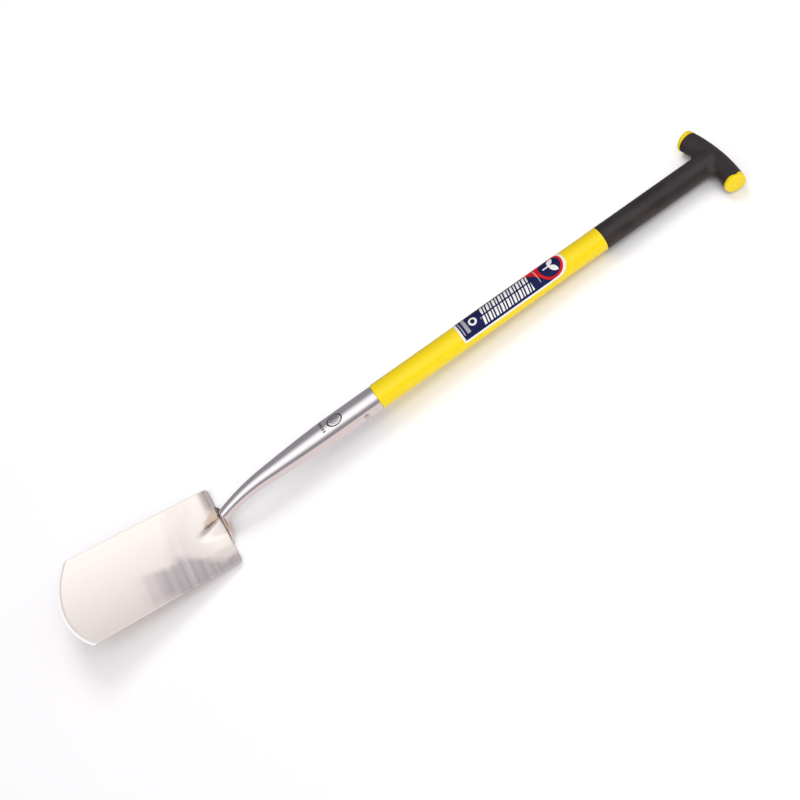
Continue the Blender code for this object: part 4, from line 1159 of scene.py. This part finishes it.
def make_world():
    """A bright panel overhead in a dim room. The panel's edges are turns about X from straight up, in
    degrees. The camera itself sees a white backdrop."""
    world = bpy.data.worlds.new("studio")
    bpy.context.scene.world = world
    world.use_nodes = True
    tree = world.node_tree
    tree.nodes.clear()
    way = add_node(tree, "ShaderNodeTexCoord").outputs["Generated"]
    _, y, z = split(tree, way)
    angle = calc(tree, "MULTIPLY", calc(tree, "ARCTAN2", y, z), 180.0 / math.pi)
    panel = calc(tree, "MULTIPLY", step(tree, angle, -68.0, -32.0), step(tree, angle, 42.0, -12.0))
    light = calc(tree, "ADD", DIM, calc(tree, "MULTIPLY", panel, PANEL))
    room = add_node(tree, "ShaderNodeBackground")
    feed(tree, room.inputs["Color"], mix(tree, panel, (1.0, 0.955, 1.03), (1.0, 0.985, 0.98)))
    feed(tree, room.inputs["Strength"], light)
    backdrop = add_node(tree, "ShaderNodeBackground")
    backdrop.inputs["Color"].default_value = (1.0, 1.0, 1.0, 1.0)
    choose = add_node(tree, "ShaderNodeMixShader")
    feed(tree, choose.inputs[0], add_node(tree, "ShaderNodeLightPath").outputs["Is Camera Ray"])
    feed(tree, choose.inputs[1], room.outputs[0])
    feed(tree, choose.inputs[2], backdrop.outputs[0])
    feed(tree, add_node(tree, "ShaderNodeOutputWorld").inputs["Surface"], choose.outputs[0])


def make_light(name, target, direction, distance, size, power, lit, glossy=False):
    """A square soft light that faces a point and lights only the listed objects."""
    data = bpy.data.lights.new(name, "AREA")
    data.shape = "SQUARE"
    data.size = size
    data.energy = power
    light = bpy.data.objects.new(name, data)
    bpy.context.scene.collection.objects.link(light)
    way = Vector(direction).normalized()
    light.location = Vector(target) + way * distance
    light.rotation_euler = way.to_track_quat("Z", "Y").to_euler()
    light.visible_glossy = glossy
    chosen = bpy.data.collections.new(name + "_lights")
    for held in lit:
        chosen.objects.link(held)
    light.light_linking.receiver_collection = chosen
    return light


def make_lights(floor, blade, others):
    """Two lights for the floor's soft shadows, one from the viewer's side for the spade, and a panel that
    is mirrored in the blade."""
    middle = (0.0, 0.0, 0.0)
    make_light("floor_key", middle, (0.25, 0.50, 0.83), 2.6, 1.3, 24.0, [floor])
    make_light("floor_fill", middle, (0.1, -0.45, 0.9), 2.6, 1.8, 14.0, [floor])
    make_light("front", middle, (0.1, -0.57, 0.81), 2.0, 1.4, 12.6, [blade, *others])
    head = to_world([-0.41, 0.0, -0.02])
    make_light("blade_panel", head, (0.08, 0.42, 0.88), 1.6, 1.6, 5.1, [blade], glossy=True)


def make_camera():
    """The camera looks square at the shaft from its soil side, turned about it and rolled."""
    c = math.cos(VIEW_TURN)
    s = math.sin(VIEW_TURN)
    along, across, up = AXES.T
    down = -c * across - s * up
    into = s * across - c * up
    right = math.cos(VIEW_ROLL) * along + math.sin(VIEW_ROLL) * down
    lower = -math.sin(VIEW_ROLL) * along + math.cos(VIEW_ROLL) * down
    place = ORIGIN - MOUTH_ACROSS * along - MOUTH_DOWN * down - VIEW_DISTANCE * into
    data = bpy.data.cameras.new("camera")
    data.lens = LENS
    data.sensor_width = SENSOR
    camera = bpy.data.objects.new("camera", data)
    bpy.context.scene.collection.objects.link(camera)
    turn = Matrix(np.stack([right, -lower, -into], axis=1).tolist()).to_4x4()
    camera.matrix_world = Matrix.Translation(Vector(place)) @ turn
    bpy.context.scene.camera = camera


# ---------------------------------------------------------------- assembly


def dress_hidden_nodes(looks):
    """Finishes for the CAD pieces that stay as they are, inside the shaft and the handle."""
    for node, look in looks.items():
        held = frame["nodes"][node]
        held.data.materials.clear()
        held.data.materials.append(look)


def build():
    """Every piece with its finish, then the studio round it."""
    groups = {
        "brush_lines": brush_lines(),
        "handling_marks": handling_marks(),
        "moulded_grain": moulded_grain(),
    }
    yellow = yellow_finish(groups)
    steel = steel_finish()
    blade = make_blade(blade_finish(groups))
    others = [
        make_neck(neck_finish(groups)),
        make_weld(weld_finish()),
        make_rivet(steel),
        make_jacket(yellow),
        make_label(label_finish()),
        make_grip(rubber_finish(groups)),
        make_cap("left_cap", "end_cap_left", 1.0, yellow),
        make_cap("right_cap", "end_cap_right", -1.0, yellow),
    ]
    plug = hidden_finish("grey_plug_plastic", (0.30, 0.31, 0.32), (0.40, 0.41, 0.42), 0.6)
    dress_hidden_nodes({
        "shaft_core": hidden_finish("glass_fibre_tube", (0.74, 0.72, 0.60), (0.86, 0.84, 0.74), 0.5),
        "core_plug_lower": plug,
        "core_plug_upper": plug,
        "handle_core": yellow,
        "handle_pin": steel,
    })
    floor = make_floor()
    make_world()
    make_lights(floor, blade, others)
    make_camera()
    bpy.context.scene.view_settings.view_transform = "Standard"
    bpy.context.scene.view_settings.look = "None"


build()
